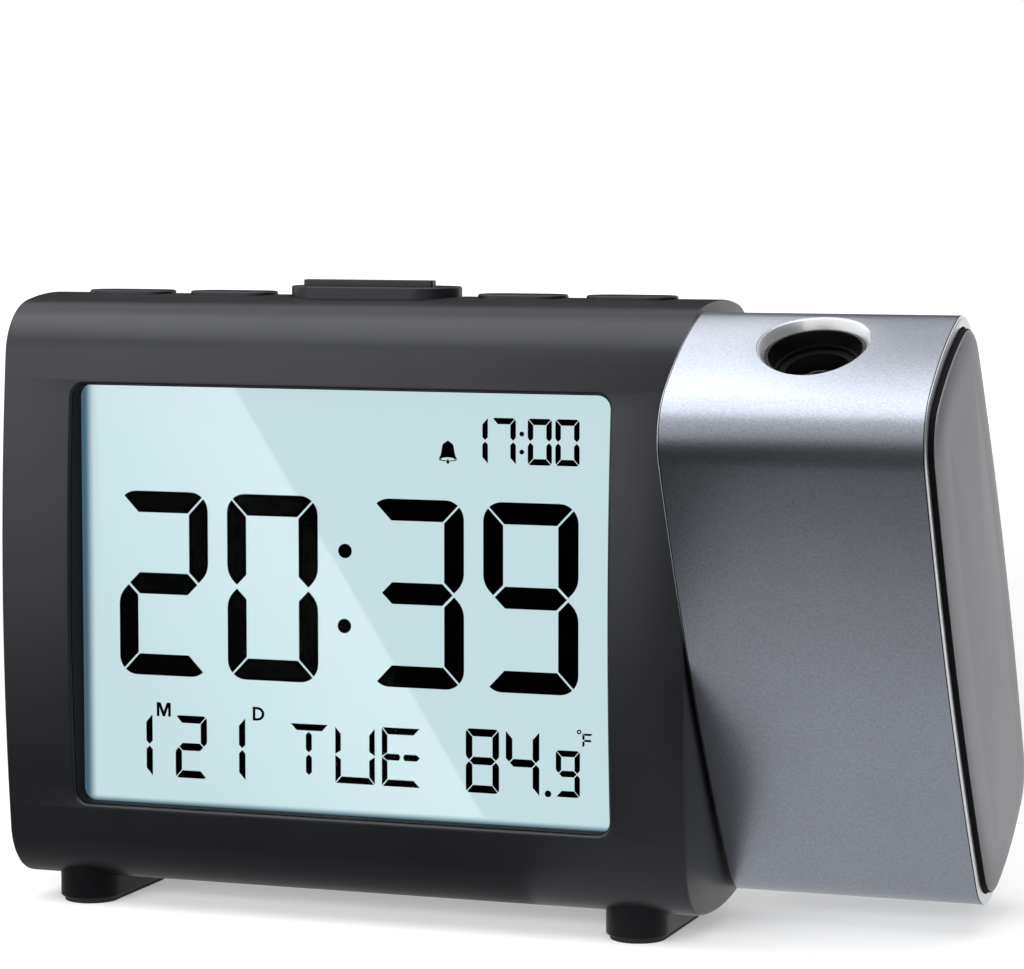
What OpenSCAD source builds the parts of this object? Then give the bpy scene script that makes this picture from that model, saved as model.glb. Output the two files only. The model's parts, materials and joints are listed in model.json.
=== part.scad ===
// Projection alarm clock: a tube-like body with a display and a row of keys, and a
// projector at its right end that swivels about the long axis of the body.
// Millimetres. X runs along the clock to the projector, Y to the back, Z up. The origin
// is on the table below the middle of the whole clock.

/* [Section of body and projector] */
// Depth of the section, front to back
section_d = 39; // [37:0.5:43]
// Height of the section
section_h = 93.8; // [91:0.5:100]
// Radius of its four corners
corner_r = 9.2; // [8.4:0.2:10.4]
// How far the front and the back bulge
side_crown = 1.9; // [1.2:0.1:2.4]
// How far the top and the bottom bulge
top_crown = 0.8; // [0.4:0.1:1]

/* [Body] */
// Length of the body along X
body_l = 112.3; // [110:0.5:124]
// Wall of the housing
wall = 2; // [1.6:0.1:2.4]
// Width of the display window
window_w = 88.7; // [80:0.5:90]
// Height of the display window
window_h = 66.4; // [60:0.5:68]
// Corner radius of the window
window_r = 2.2; // [1.5:0.1:4]
// Depth of the window's floor behind the front of the section
window_depth = 4.8; // [4:0.1:5.4]
// Thickness of the clear display lens
lens_t = 1; // [0.8:0.1:1.2]
// Width of the seat behind the window's edge
seat_w = 1.5; // [1.2:0.1:1.8]
// Thickness of the display glass
lcd_t = 2.2; // [1.8:0.1:2.4]
// Thickness of the light guide
guide_t = 3; // [2.4:0.1:3.4]

/* [Feet] */
// Height of the feet below the section
foot_h = 3.4; // [3:0.1:5]
// Width of a bar foot
foot_w = 9.8; // [8:0.2:12]
// Length of a bar foot, front to back
foot_l = 27.8; // [22:0.2:30]
// Distance of each foot from the middle of the body
foot_dx = 46; // [38:0.5:48]
// Thickness of the rubber sole
sole_t = 0.8; // [0.5:0.1:1.2]

/* [Keys] */
// Length of a small key
key_l = 14.4; // [13:0.2:14.8]
// Depth of a small key
key_w = 7.6; // [6:0.2:8.4]
// Distance of the inner keys from the middle of the body
key_near = 24.3; // [23.8:0.1:25.2]
// Distance of the outer keys from the middle of the body
key_far = 42; // [41.6:0.1:42.6]
// How far a small key stands above the top
key_proud = 0.5; // [0.4:0.1:1.2]
// Travel of a small key
key_travel = 0.4; // [0.3:0.1:0.6]
// Length of the snooze bar
snooze_l = 27.8; // [24:0.2:28.4]
// Depth of the snooze bar
snooze_w = 12; // [9:0.2:12.4]
// How far the snooze bar's lower step stands above the top
snooze_step = 1.5; // [1:0.1:2]
// How far the rib on it stands above the top
snooze_proud = 2.55; // [2.1:0.05:3]
// Length of the rib
snooze_top_l = 21.5; // [16:0.5:22.5]
// Depth of the rib, front to back
snooze_top_w = 2; // [1.4:0.1:4]
// Travel of the snooze bar
snooze_travel = 0.8; // [0.5:0.1:0.9]

/* [Back] */
// Width of the rear cover
cover_w = 98; // [94:0.5:100]
// Height of the rear cover
cover_h = 70; // [66:0.5:72]
// Thickness of the rear cover
cover_t = 2.4; // [2.2:0.1:2.8]
// Width of the battery door
door_w = 50; // [49.5:0.1:51]
// Height of the battery door
door_h = 25; // [24.6:0.1:26]
// Diameter of a back-up cell
cell_d = 10.5; // [10.3:0.1:10.7]
// Length of a back-up cell
cell_l = 44.5; // [43.5:0.1:44.8]

/* [Projector] */
// Length of the projector's sleeve along X
sleeve_l = 39.3; // [38:0.1:44]
// Wall of the sleeve
sleeve_t = 1.7; // [1.4:0.1:2]
// Gap between body and projector
swivel_gap = 0.4; // [0.3:0.1:0.8]
// Forward tilt of the projector at rest
rest_tilt = 29.6; // [0:0.1:60]
// Diameter of the lens opening
opening_d = 16.5; // [15.5:0.1:17]
// Distance of the lens opening behind the middle of the sleeve
opening_y = 2; // [0:0.1:2.5]
// How far the cap's base stands out of the sleeve
cap_base_proud = 0.9; // [0.6:0.1:1.5]
// Height of the domed cap on its base
cap_dome = 1.1; // [0.8:0.1:2]
// Outside diameter of the pivot tube
pivot_d = 16; // [14:0.2:16.4]
// Bore of the pivot tube, for the wires
pivot_bore = 10; // [7:0.2:11]
// Outside diameter of the focus barrel
barrel_d = 12.2; // [11.8:0.1:12.6]
// Travel of the focus barrel either way
focus_travel = 1.4; // [0.8:0.1:1.5]
// Outside diameter of the focus wheel
wheel_d = 11.2; // [10.8:0.1:11.6]
// Width of the focus wheel
wheel_w = 4; // [3:0.1:4.4]
// Module of the focus rack and pinion
tooth_m = 0.4; // [0.36:0.01:0.42]
// Teeth of the focus pinion
pinion_teeth = 12; // [11:1:12]

/* [Fits] */
// Radial clearance of shafts that turn or slide
run_fit = 0.05; // [0.03:0.01:0.08]
// Clearance of pieces that drop into a pocket
drop_fit = 0.15; // [0.1:0.05:0.25]
// Visible gap around covers, doors and keys
seam = 0.2; // [0.15:0.05:0.3]

/* [Hidden] */
$fn = 48;

// Steps along the arcs of an outline
side_steps = 6;
corner_steps = 10;
top_steps = 4;
round_steps = 5;

// Places along X
total_l = body_l + swivel_gap + sleeve_l + cap_base_proud + cap_dome;
body_x0 = -total_l / 2;
body_x1 = body_x0 + body_l;
body_cx = body_x0 + body_l / 2;
sleeve_x0 = body_x1 + swivel_gap;
sleeve_x1 = sleeve_x0 + sleeve_l;
sleeve_cx = sleeve_x0 + sleeve_l / 2;
// Height of the swivel axis above the table
axis_z = section_h / 2 + foot_h;
half_d = section_d / 2;
half_h = section_h / 2;

// Arcs of the section: a corner arc between two long, shallow ones
corner_y = half_d - side_crown - corner_r;
corner_z = half_h - top_crown - corner_r;
side_r = (pow(half_d - corner_y, 2) + pow(corner_z, 2) - pow(corner_r, 2)) / (2 * side_crown);
top_r = (pow(half_h - corner_z, 2) + pow(corner_y, 2) - pow(corner_r, 2)) / (2 * top_crown);
side_turn = atan2(corner_z, corner_y - half_d + side_r);
top_turn = atan2(corner_y, corner_z - half_h + top_r);

// Layers behind the window, front faces along Y
lens_y = -half_d + window_depth;
layer_gap = 0.1;
lcd_y = lens_y + lens_t + layer_gap;
guide_y = lcd_y + lcd_t + layer_gap;
board_t = 1.6;
board_room = 1.2;
board_y = guide_y + guide_t + board_room;
board_back = board_y + board_t;
seat_step = 0.5;
rim_w = seat_w + seat_step;
frame_wall = 1.5;
lens_w = window_w + 2 * seat_w;
lens_h = window_h + 2 * seat_w;
frame_w = lens_w + 2 * drop_fit + 2 * frame_wall;
frame_h = lens_h + 2 * drop_fit + 2 * frame_wall;
zebra_w = 2.6;
zebra_l = 80;
led_depth = 1.6;
led_w = 5;
led_places = [-20, 0, 20];

// Screws and the bosses that they go into
screw_d = 2.2;
screw_head_d = 4.2;
screw_head_t = 1.3;
screw_slot = 0.6;
board_screw_l = 5;
cover_screw_l = 7;
port_screw_l = 4;
key_screw_l = 3.6;
cap_screw_l = 5;
cap_boss_l = 6.5;
boss_d = 5.2;
pilot_d = screw_d + 2 * drop_fit;
pilot_over = 0.4;
boss_gap = 0.4;
board_boss_dx = frame_w / 2 + boss_gap + boss_d / 2;
board_boss_dz = 30;
board_w = 2 * board_boss_dx + boss_d - boss_gap;
board_h = frame_h;

// Keys and the board below them
top_in = half_h - wall;
flange_gap = 0.5;
flange_t = 0.9;
flange_w = 1;
switch_size = 6;
switch_body_t = 2.4;
switch_plunger_t = 0.8;
plunger_d = 3.4;
post_d = 4;
flange_z1 = top_in - flange_gap;
flange_z0 = flange_z1 - flange_t;
plunger_gap = 0.2;
plunger_z = flange_z0 - snooze_travel - plunger_gap;
key_board_t = 1.2;
post_gap = 0.15;
key_dish = 0.25;
dish_rim = 1;
ribbon_t = 0.3;
ribbon_w = 14;
ribbon_dx = 21;
ribbon_low = 26;
ribbon_run = 8;
key_board_z = plunger_z - switch_plunger_t - switch_body_t;
key_boss_out = key_far + 8;
key_boss_in = (key_near + key_far) / 2;
key_boss_dx = [-key_boss_out, -key_boss_in, key_boss_in, key_boss_out];
key_boss_y = 8.2;
key_board_over = 2;
key_board_l = 2 * (key_boss_out + key_board_over);
key_board_w = 2 * key_boss_y + boss_d;
key_places = [-key_far, -key_near, key_near, key_far];
snooze_front = 2;
snooze_top_y = snooze_front - (snooze_w - snooze_top_w) / 2;
rib_r = 0.6;
rib_root = 0.5;

// Rear cover, battery box and sockets
cover_r = 5;
ledge_w = 3;
ledge_t = 1.6;
ledge_out = 2;
cover_screw_in = 5;
cover_screw_dx = cover_w / 2 - cover_screw_in;
cover_screw_dz = cover_h / 2 - cover_screw_in;
cover_post_l = 8;
cover_post_y = side_y(cover_screw_dz) - cover_t - cover_post_l;
cover_post_d = 6;
head_sink = 1.4;
box_rim = 1.6;
box_out_w = door_w + 2 * box_rim;
box_out_h = door_h + 2 * box_rim;
port_board_w = 27;
port_board_h = 18;
back_gap = 1;
back_row_w = box_out_w + back_gap + port_board_w;
door_x = body_cx - (back_row_w - box_out_w) / 2;
port_board_x = body_cx + (back_row_w - port_board_w) / 2;
post_room = 0.6;
door_z = -cover_screw_dz + cover_post_d / 2 + post_room + box_out_h / 2;
door_gap = 0.25;
door_t = cover_t - drop_fit;
door_pin_d = 1.3;
door_pin_l = 1.1;
door_axis_z = door_z - door_h / 2 + door_t / 2;
door_axis_y = side_y(door_axis_z) - door_t / 2;
notch_d = 11;
notch_t = 1.1;
contact_t = 0.5;
spring_l = 2.4;
cell_gap = 0.4;
cell_under = 0.1;
cell_over = 0.9;
cell_nub = 1;
nub_d = 3.8;
coil_r = 3;
coil_wire = 0.8;
coil_turns = 4;
cell_room = cell_l + spring_l + 2 * contact_t + cell_gap / 2;
cell_pitch = cell_d + cell_gap;
box_h = cell_pitch + cell_d + 2 * cell_gap;
box_t = 1.4;
box_r = 1;
cell_top_y = side_y(door_z) - cover_t - cell_over;
cell_y = cell_top_y - cell_d / 2;
box_floor_y = cell_y - cell_d / 2 - cell_under;
port_z = -17;
port_board_y = 8;
port_board_back = port_board_y + board_t;
port_sink = 0.6;
port_end = side_y(port_z) - port_sink;
charge_w = 13.1;
charge_h = 5.7;
charge_x = port_board_x - 7;
inlet_w = 9;
inlet_h = 3.3;
inlet_x = port_board_x + 7.6;
socket_wall = 0.4;
socket_floor = 1;
tongue_side = 1;
tongue_sink = 1;
charge_tongue_t = 1.8;
charge_tongue_z = port_z + 0.9;
inlet_tongue_t = 0.7;
port_boss_dx = (port_board_w - boss_d) / 2;
port_boss_dz = 6.2;
vent_n = 6;
vent_pitch = 3.4;
vent_w = 1.3;
vent_h = 14;
vent_x = body_cx + 28;
vent_z = 14;
sensor_x = vent_x - 14;
sensor_d = 4;
sensor_l = 3.2;

// Parts on the main board
chip_x = body_cx - 8;
chip_z = 14;
chip_size = 14;
chip_t = 1.8;
crystal_x = body_cx + 4;
crystal_d = 2.2;
crystal_l = 6;
capacitor_x = body_cx - 31;
capacitor_z = 18;
capacitor_pitch = 7;
capacitor_d = 5;
capacitor_l = 7;
buzzer_x = body_cx + 34;
buzzer_z = 20;
buzzer_d = 12;
buzzer_t = 5.5;
buzzer_hole_d = 2.5;
buzzer_hole_l = 1.5;

// Pegs of the feet and of the cap
peg_d = 3;
peg_dy = 5;
sole_inset = 0.6;

// Pivot
bush_wall = 1.6;
bush_d = pivot_d + 2 * run_fit + 2 * bush_wall;
bush_flange_w = 3;
bush_flange_d = bush_d + 2 * bush_flange_w;
bush_flange_t = 1.5;
bush_l = 4;
washer_t = 1;
wave_t = 1;
ring_t = 1;
pivot_tail = 0.9;
washer_w = 3;
washer_d = pivot_d + 2 * washer_w;
wave_w = 2.5;
ring_w = 2;
washer_gap = 0.1;
pivot_groove = 0.8;
bush_x0 = body_x1 - bush_l;
washer_x0 = bush_x0 - washer_t;
wave_x0 = washer_x0 - washer_gap - wave_t;
ring_x0 = wave_x0 - ring_t;
pivot_x0 = ring_x0 - pivot_tail;
notch_gap = 0.7;
notch_x0 = pivot_x0 - notch_gap;
notch_h = bush_flange_d + notch_gap;
plate_sink = 0.3;
plate_t = 2.5;
plate_x0 = sleeve_x0 + plate_sink;
plate_x1 = plate_x0 + plate_t;
hub_flange_w = 5;
hub_flange_d = pivot_d + 2 * hub_flange_w;
hub_flange_t = 2;
hub_screw_r = (hub_flange_d + pivot_d) / 4;
screw_floor = 0.3;
wire_d = 3;
wire_plug_w = 7;
wire_plug_h = 5.2;
wire_start_x = body_x1 - 26;
wire_out = 1;
wire_end_x = plate_x1 + hub_flange_t + wire_out;

// Projector chassis and optics
chassis_t = 1.6;
chassis_x0 = plate_x1;
cap_room = 8;
chassis_x1 = sleeve_x1 - cap_room;
chassis_back_t = 2;
duct_w = 21;
duct_y0 = opening_y - duct_w / 2 - chassis_t;
duct_y1 = opening_y + duct_w / 2 + chassis_t;
duct_bottom = -33;
top_plate_t = 1.6;
shelf_t = 1.6;
optic_x0 = chassis_x0 + chassis_back_t;
lcd_shelf_z = 8;
lens_shelf_z = -6;
led_shelf_z = -18;
slide_size = 15;
slide_window = 11;
slide_t = 1.8;
condenser_d = 13;
condenser_rim = 1.4;
condenser_dome = 3.2;
led_d = 5;
led_l = 7;
led_board_size = 18;
sink_w = 16;
sink_fins = 5;
sink_fin_t = 1.4;
sink_fin_h = 5.5;
sink_base_t = 2;
chassis_screw_dy = 6;
chassis_screw_z = 27;
shelf_x0 = sleeve_cx - 9.5;
shelf_lap = 1;
hub_room = 0.5;
lead_d = 1.2;
lead_gap = 0.3;
lead_x = shelf_x0 - 2.2;

// Lens opening
bezel_d = opening_d - drop_fit;
bezel_flange_w = 1.75;
bezel_flange_d = opening_d + 2 * bezel_flange_w;
bezel_flange_t = 1.5;
bezel_sink = 1;
bezel_lip = 0.55;
bezel_drop = 1.05;
bezel_flange_z = half_h - sleeve_t - bezel_flange_t - bezel_sink;
well_step = 0.8;
guide_d = barrel_d + 2 * run_fit;
guide_wall = 1.3;
guide_out_d = guide_d + 2 * guide_wall;
well_depth = 4.6;
well_z = half_h - well_depth;
barrel_sink = 0.6;
barrel_top = well_z - barrel_sink;
barrel_l = 17;
barrel_wall = 1.1;
barrel_bore = barrel_d - 2 * barrel_wall;
lens_shoulder = 0.8;
barrel_low_bore = barrel_bore - 2 * lens_shoulder;
lens_seat = 5;
objective_rim = 1.6;
objective_dome = 2.6;

// Focus rack and pinion
pitch_r = tooth_m * pinion_teeth / 2;
tooth_pitch = PI * tooth_m;
tooth_play = 0.3;
tooth_angle = 20;
// Half thickness of a tooth at its pitch line
tooth_half = (tooth_pitch - tooth_play) / 4;
addendum = 0.75 * tooth_m;
dedendum = 1.15 * tooth_m;
rack_stand = 3.2;
rack_y = opening_y + barrel_d / 2 + rack_stand;
wheel_y = rack_y + pitch_r;
wheel_z = 29.4;
rack_n = ceil(2 * focus_travel / tooth_pitch) + 3;
rack_w = 3.2;
rack_root = 0.3;
pinion_w = 3.6;
pinion_gap = 1;
wheel_x0 = sleeve_cx + pinion_w / 2 + pinion_gap;
wheel_x1 = wheel_x0 + wheel_w;
axle_d = 2;
axle_l = 2.4;
ear_d = 5;
ear_gap = 0.3;
knurl_n = 30;
knurl_deep = 0.35;
wheel_room = 0.5;
guide_low = wheel_z + wheel_d / 2 + wheel_room;
duct_top = guide_low;
back_wall_top = wheel_z - wheel_d / 2 - wheel_room;
ear_root = 3;
wheel_slot_w = wheel_w + 2 * wheel_room;
wheel_slot_h = wheel_d - 2 * wheel_room;
wheel_slot_r = 0.8;

// Cap
cap_inset = sleeve_t + seam;
cap_wall = 1.5;
cap_floor_t = 1.6;
cap_floor_x0 = chassis_x1;
cap_x = sleeve_x1 + cap_base_proud;
cap_edge = 0.2;
cap_rings = 7;
cap_blend = 6.2;
cap_plug = 2;
cap_weld = 0.2;
peg_z = 12;
peg_tip = 0.4;
cap_screw_places = [[-7, 28], [-7, -30], [11, -30], [11, 19]];

// ---------- outlines ----------

// Points of an arc in degrees, its last point left out
function arc_points(y, z, r, a0, a1, n) =
    [for (i = [0 : n - 1]) let (a = a0 + (a1 - a0) * i / n) [y + r * cos(a), z + r * sin(a)]];

// A quarter of the section, from the back at mid height up to the top, drawn in by inset
function quarter(inset) = concat(
    arc_points(half_d - side_r, 0, side_r - inset, 0, side_turn, side_steps),
    arc_points(corner_y, corner_z, corner_r - inset, side_turn, 90 - top_turn, corner_steps),
    arc_points(0, half_h - top_r, top_r - inset, 90 - top_turn, 90, top_steps));

function upper_half(inset) = let (q = quarter(inset)) concat(q, [[0, half_h - inset]],
    [for (i = [len(q) - 1 : -1 : 1]) [-q[i][0], q[i][1]]]);

function section_ring(inset = 0) = concat(upper_half(inset), -1 * upper_half(inset));

// Distance of the back surface from the middle plane at height z
function side_y(z) = half_d - side_r + sqrt(side_r * side_r - z * z);

function round_rect(w, h, r) = [for (c = [[1, 1], [-1, 1], [-1, -1], [1, -1]])
    let (a = c[0] > 0 ? (c[1] > 0 ? 0 : 270) : (c[1] > 0 ? 90 : 180))
    for (i = [0 : round_steps]) let (t = a + 90 * i / round_steps)
    [c[0] * (w / 2 - r) + r * cos(t), c[1] * (h / 2 - r) + r * sin(t)]];

function stadium(l, w) = [for (s = [1, -1]) for (i = [0 : 2 * corner_steps])
    let (a = (s > 0 ? -90 : 90) + 180 * i / (2 * corner_steps))
    [s * (l - w) / 2 + w / 2 * cos(a), w / 2 * sin(a)]];

// ---------- placing ----------

module lift() {
    translate([0, 0, axis_z]) children();
}

module swing() {
    lift() rotate([rest_tilt, 0, 0]) children();
}

// ---------- solids along an axis ----------

module section_bar(x0, x1, inset = 0) {
    translate([x0, 0, 0]) rotate([90, 0, 90]) linear_extrude(x1 - x0) polygon(section_ring(inset));
}

module slab_y(x, z, w, h, r, y0, y1) {
    translate([x, y1, z]) rotate([90, 0, 0]) linear_extrude(y1 - y0) polygon(round_rect(w, h, r));
}

module slab_z(x, y, w, h, r, z0, z1) {
    translate([x, y, z0]) linear_extrude(z1 - z0) polygon(round_rect(w, h, r));
}

module rod_x(y, z, d, x0, x1) {
    translate([x0, y, z]) rotate([0, 90, 0]) cylinder(h = x1 - x0, d = d);
}

module rod_y(x, z, d, y0, y1) {
    translate([x, y1, z]) rotate([90, 0, 0]) cylinder(h = y1 - y0, d = d);
}

module rod_z(x, y, d, z0, z1) {
    translate([x, y, z0]) cylinder(h = z1 - z0, d = d);
}

module box(x0, x1, y0, y1, z0, z1) {
    translate([x0, y0, z0]) cube([x1 - x0, y1 - y0, z1 - z0]);
}

// A screw along +X or +Y: its head starts at the given place, its shank points back
module screw_y(x, z, head_y, shank) {
    difference() {
        union() {
            rod_y(x, z, screw_head_d, head_y, head_y + screw_head_t);
            rod_y(x, z, screw_d, head_y - shank, head_y + screw_head_t / 2);
        }
        screw_cross_y(x, z, head_y + screw_head_t);
    }
}

module screw_cross_y(x, z, y1) {
    for (turn = [0, 90]) translate([x, y1, z]) rotate([0, turn, 0])
        cube([screw_head_d * 0.6, screw_slot * 2, screw_slot], center = true);
}

// The same screw along X
module screw_x(y, z, head_x, shank) {
    translate([head_x, y, z]) rotate([0, 0, -90]) screw_y(0, 0, 0, shank);
}

// A lens with a flat underside, a straight rim and a dome
module dome_lens(d, rim, dome) {
    ball_r = (d * d / 4 + dome * dome) / (2 * dome);
    intersection() {
        cylinder(h = rim + dome, d = d);
        translate([0, 0, rim + dome - ball_r]) sphere(r = ball_r);
    }
}

// Everything between two insets of the section
module section_skin(x0, x1, inset_out, inset_in) {
    difference() {
        section_bar(x0, x1, inset_out);
        section_bar(x0 - 1, x1 + 1, inset_in);
    }
}

// ---------- body ----------

module at_corners(dx, dz) {
    for (sx = [-1, 1]) for (sz = [-1, 1]) translate([body_cx + sx * dx, 0, sz * dz]) children();
}

module housing_solids() {
    difference() {
        section_bar(body_x0, body_x1);
        section_bar(body_x0 + wall, body_x1 - wall, wall);
    }
    intersection() {
        section_bar(body_x0 + wall / 2, body_x1 - wall / 2, wall / 2);
        union() {
            slab_y(body_cx, 0, window_w + 2 * rim_w, window_h + 2 * rim_w, window_r + rim_w,
                -half_d, lens_y);
            at_corners(board_boss_dx, board_boss_dz) rod_y(0, 0, boss_d, -half_d, board_y);
            for (dx = key_boss_dx) for (sy = [-1, 1])
                rod_z(body_cx + dx, sy * key_boss_y, boss_d, key_board_z, half_h);
        }
    }
    intersection() {
        section_skin(body_x0 + wall, body_x1 - wall, wall / 2, cover_t + ledge_t);
        slab_y(body_cx, 0, cover_w + 2 * ledge_out, cover_h + 2 * ledge_out, cover_r + ledge_out,
            0, half_d);
    }
}

module housing_openings() {
    slab_y(body_cx, 0, window_w, window_h, window_r, -half_d - 1, lens_y + 1);
    difference() {
        slab_y(body_cx, 0, cover_w + 2 * seam, cover_h + 2 * seam, cover_r + seam, 0, half_d + 1);
        section_bar(body_x0 - 1, body_x1 + 1, cover_t);
    }
    slab_y(body_cx, 0, cover_w - 2 * ledge_w, cover_h - 2 * ledge_w, cover_r - ledge_w,
        0, half_d + 1);
    for (dx = key_places) key_hole(dx, key_l, key_w);
    key_hole(0, snooze_l, snooze_w);
    rod_x(0, 0, bush_d + 2 * run_fit, body_x1 - wall - 1, body_x1 + 1);
    for (sx = [-1, 1]) for (sy = [-1, 1])
        rod_z(body_cx + sx * foot_dx, sy * peg_dy, peg_d + 2 * run_fit, -half_h - 1, -top_in + 1);
}

module key_hole(dx, l, w) {
    translate([body_cx + dx, 0, top_in - 1]) linear_extrude(wall + 2)
        polygon(stadium(l + 2 * seam, w + 2 * seam));
}

module cover_posts() {
    intersection() {
        section_bar(body_x0 + wall, body_x1 - wall, cover_t);
        at_corners(cover_screw_dx, cover_screw_dz)
            rod_y(0, 0, cover_post_d, cover_post_y, half_d);
    }
}

module housing_pilots() {
    at_corners(board_boss_dx, board_boss_dz)
        rod_y(0, 0, pilot_d, board_y - board_screw_l - pilot_over, board_y + 1);
    at_corners(cover_screw_dx, cover_screw_dz)
        rod_y(0, 0, pilot_d, cover_post_y + 1, half_d + 1);
    for (dx = key_boss_dx) for (sy = [-1, 1])
        rod_z(body_cx + dx, sy * key_boss_y, pilot_d, key_board_z - 1,
            key_board_z + key_screw_l + pilot_over);
}

module main_housing() {
    color("#2c2d30") lift() difference() {
        union() {
            difference() {
                housing_solids();
                housing_openings();
            }
            cover_posts();
        }
        housing_pilots();
    }
}

module display_lens() {
    color("lightblue", 0.4) lift()
        slab_y(body_cx, 0, lens_w, lens_h, 1, lens_y, lens_y + lens_t);
}

module lcd_glass() {
    color("#c3dde0") lift() slab_y(body_cx, 0, lens_w, lens_h, 0.5, lcd_y, lcd_y + lcd_t);
}

module lcd_frame() {
    color("#1c1c1e") lift() difference() {
        slab_y(body_cx, 0, frame_w, frame_h, 1.5, lens_y, board_y);
        slab_y(body_cx, 0, lens_w + 2 * drop_fit, lens_h + 2 * drop_fit, 0.5,
            lens_y - 1, board_y + 1);
    }
}

module light_guide() {
    color("#e8f4f2") lift() slab_y(body_cx, 0, lens_w - 2 * (led_depth + layer_gap),
        lens_h - 2 * (zebra_w + layer_gap), 0.5, guide_y, guide_y + guide_t);
}

module backlight_leds() {
    color("#f4f0dc") lift() for (sx = [-1, 1]) for (z = led_places)
        box(body_cx + sx * (lens_w - led_depth) / 2 - led_depth / 2,
            body_cx + sx * (lens_w - led_depth) / 2 + led_depth / 2,
            guide_y, board_y, z - led_w / 2, z + led_w / 2);
}

module zebra_strips() {
    color("#d88a9a") lift() for (sz = [-1, 1])
        box(body_cx - zebra_l / 2, body_cx + zebra_l / 2, guide_y - layer_gap, board_y,
            sz * (lens_h - zebra_w) / 2 - zebra_w / 2, sz * (lens_h - zebra_w) / 2 + zebra_w / 2);
}

module main_board() {
    color("#1f5d3a") lift() difference() {
        slab_y(body_cx, 0, board_w, board_h, 1, board_y, board_back);
        at_corners(board_boss_dx, board_boss_dz) rod_y(0, 0, pilot_d, board_y - 1, board_back + 1);
        box(notch_x0, body_x1, board_y - 1, board_back + 1, -notch_h / 2, notch_h / 2);
    }
}

module board_screws() {
    color("#b8bcc2") lift() at_corners(board_boss_dx, board_boss_dz)
        screw_y(0, 0, board_back, board_screw_l + board_t);
}

module clock_chip() {
    color("#18181a") lift()
        slab_y(chip_x, chip_z, chip_size, chip_size, 1, board_back, board_back + chip_t);
}

module crystal() {
    color("#c8ccd0") lift()
        rod_x(board_back + crystal_d / 2, chip_z, crystal_d, crystal_x, crystal_x + crystal_l);
}

module capacitors() {
    color("#3a4a78") lift() for (i = [-1 : 1])
        rod_y(capacitor_x + i * capacitor_pitch, capacitor_z, capacitor_d, board_back,
            board_back + capacitor_l);
}

module buzzer() {
    color("#151517") lift() difference() {
        rod_y(buzzer_x, buzzer_z, buzzer_d, board_back, board_back + buzzer_t);
        rod_y(buzzer_x, buzzer_z, buzzer_hole_d, board_back + buzzer_t - buzzer_hole_l,
            board_back + buzzer_t + 1);
    }
}

// ---------- keys ----------

module key_board() {
    color("#1f5d3a") lift() difference() {
        slab_z(body_cx, 0, key_board_l, key_board_w, 1, key_board_z - key_board_t, key_board_z);
        for (dx = key_boss_dx) for (sy = [-1, 1])
            rod_z(body_cx + dx, sy * key_boss_y, pilot_d, key_board_z - 3, key_board_z + 1);
    }
}

module key_board_screws() {
    color("#b8bcc2") lift() for (dx = key_boss_dx) for (sy = [-1, 1])
        translate([body_cx + dx, sy * key_boss_y, key_board_z - key_board_t]) rotate([-90, 0, 0])
            screw_y(0, 0, 0, key_board_t + key_screw_l);
}

module key_switches() {
    color("#303236") lift() for (dx = concat(key_places, [0])) {
        slab_z(body_cx + dx, 0, switch_size, switch_size, 0.4, key_board_z,
            key_board_z + switch_body_t);
        rod_z(body_cx + dx, 0, plunger_d, key_board_z + switch_body_t - 0.2, plunger_z);
    }
}

module key_ribbon() {
    color("#d9b36a") lift() {
        box(body_cx + ribbon_dx - ribbon_w / 2, body_cx + ribbon_dx + ribbon_w / 2, board_back,
            board_back + ribbon_t, ribbon_low, key_board_z - key_board_t);
        box(body_cx + ribbon_dx - ribbon_w / 2, body_cx + ribbon_dx + ribbon_w / 2, board_back,
            board_back + ribbon_run, key_board_z - key_board_t - ribbon_t,
            key_board_z - key_board_t);
    }
}

// A key: its cap, the flange that keeps it in and the post over its switch
module key_cap(dx, l, w, proud, travel) {
    translate([body_cx + dx, 0, 0]) {
        translate([0, 0, flange_z0 + flange_t / 2]) linear_extrude(half_h + proud - flange_z0
            - flange_t / 2) polygon(stadium(l, w));
        translate([0, 0, flange_z0]) linear_extrude(flange_t)
            polygon(stadium(l + 2 * flange_w, w + 2 * flange_w));
        rod_z(0, 0, post_d, plunger_z + travel + post_gap, flange_z0 + flange_t / 2);
    }
}

module small_key(dx) {
    color("#232427") lift() difference() {
        key_cap(dx, key_l, key_w, key_proud, key_travel);
        translate([body_cx + dx, 0, half_h + key_proud - key_dish])
            linear_extrude(1) polygon(stadium(key_l - 2 * dish_rim, key_w - 2 * dish_rim));
    }
}

module set_button() {
    small_key(-key_far);
}

module alarm_button() {
    small_key(-key_near);
}

module minus_button() {
    small_key(key_near);
}

module plus_button() {
    small_key(key_far);
}

module snooze_bar() {
    color("#232427") lift() {
        key_cap(0, snooze_l, snooze_w, snooze_step, snooze_travel);
        slab_z(body_cx, snooze_top_y, snooze_top_l, snooze_top_w, rib_r,
            half_h + snooze_step - rib_root, half_h + snooze_proud);
    }
}

// ---------- back ----------

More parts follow.
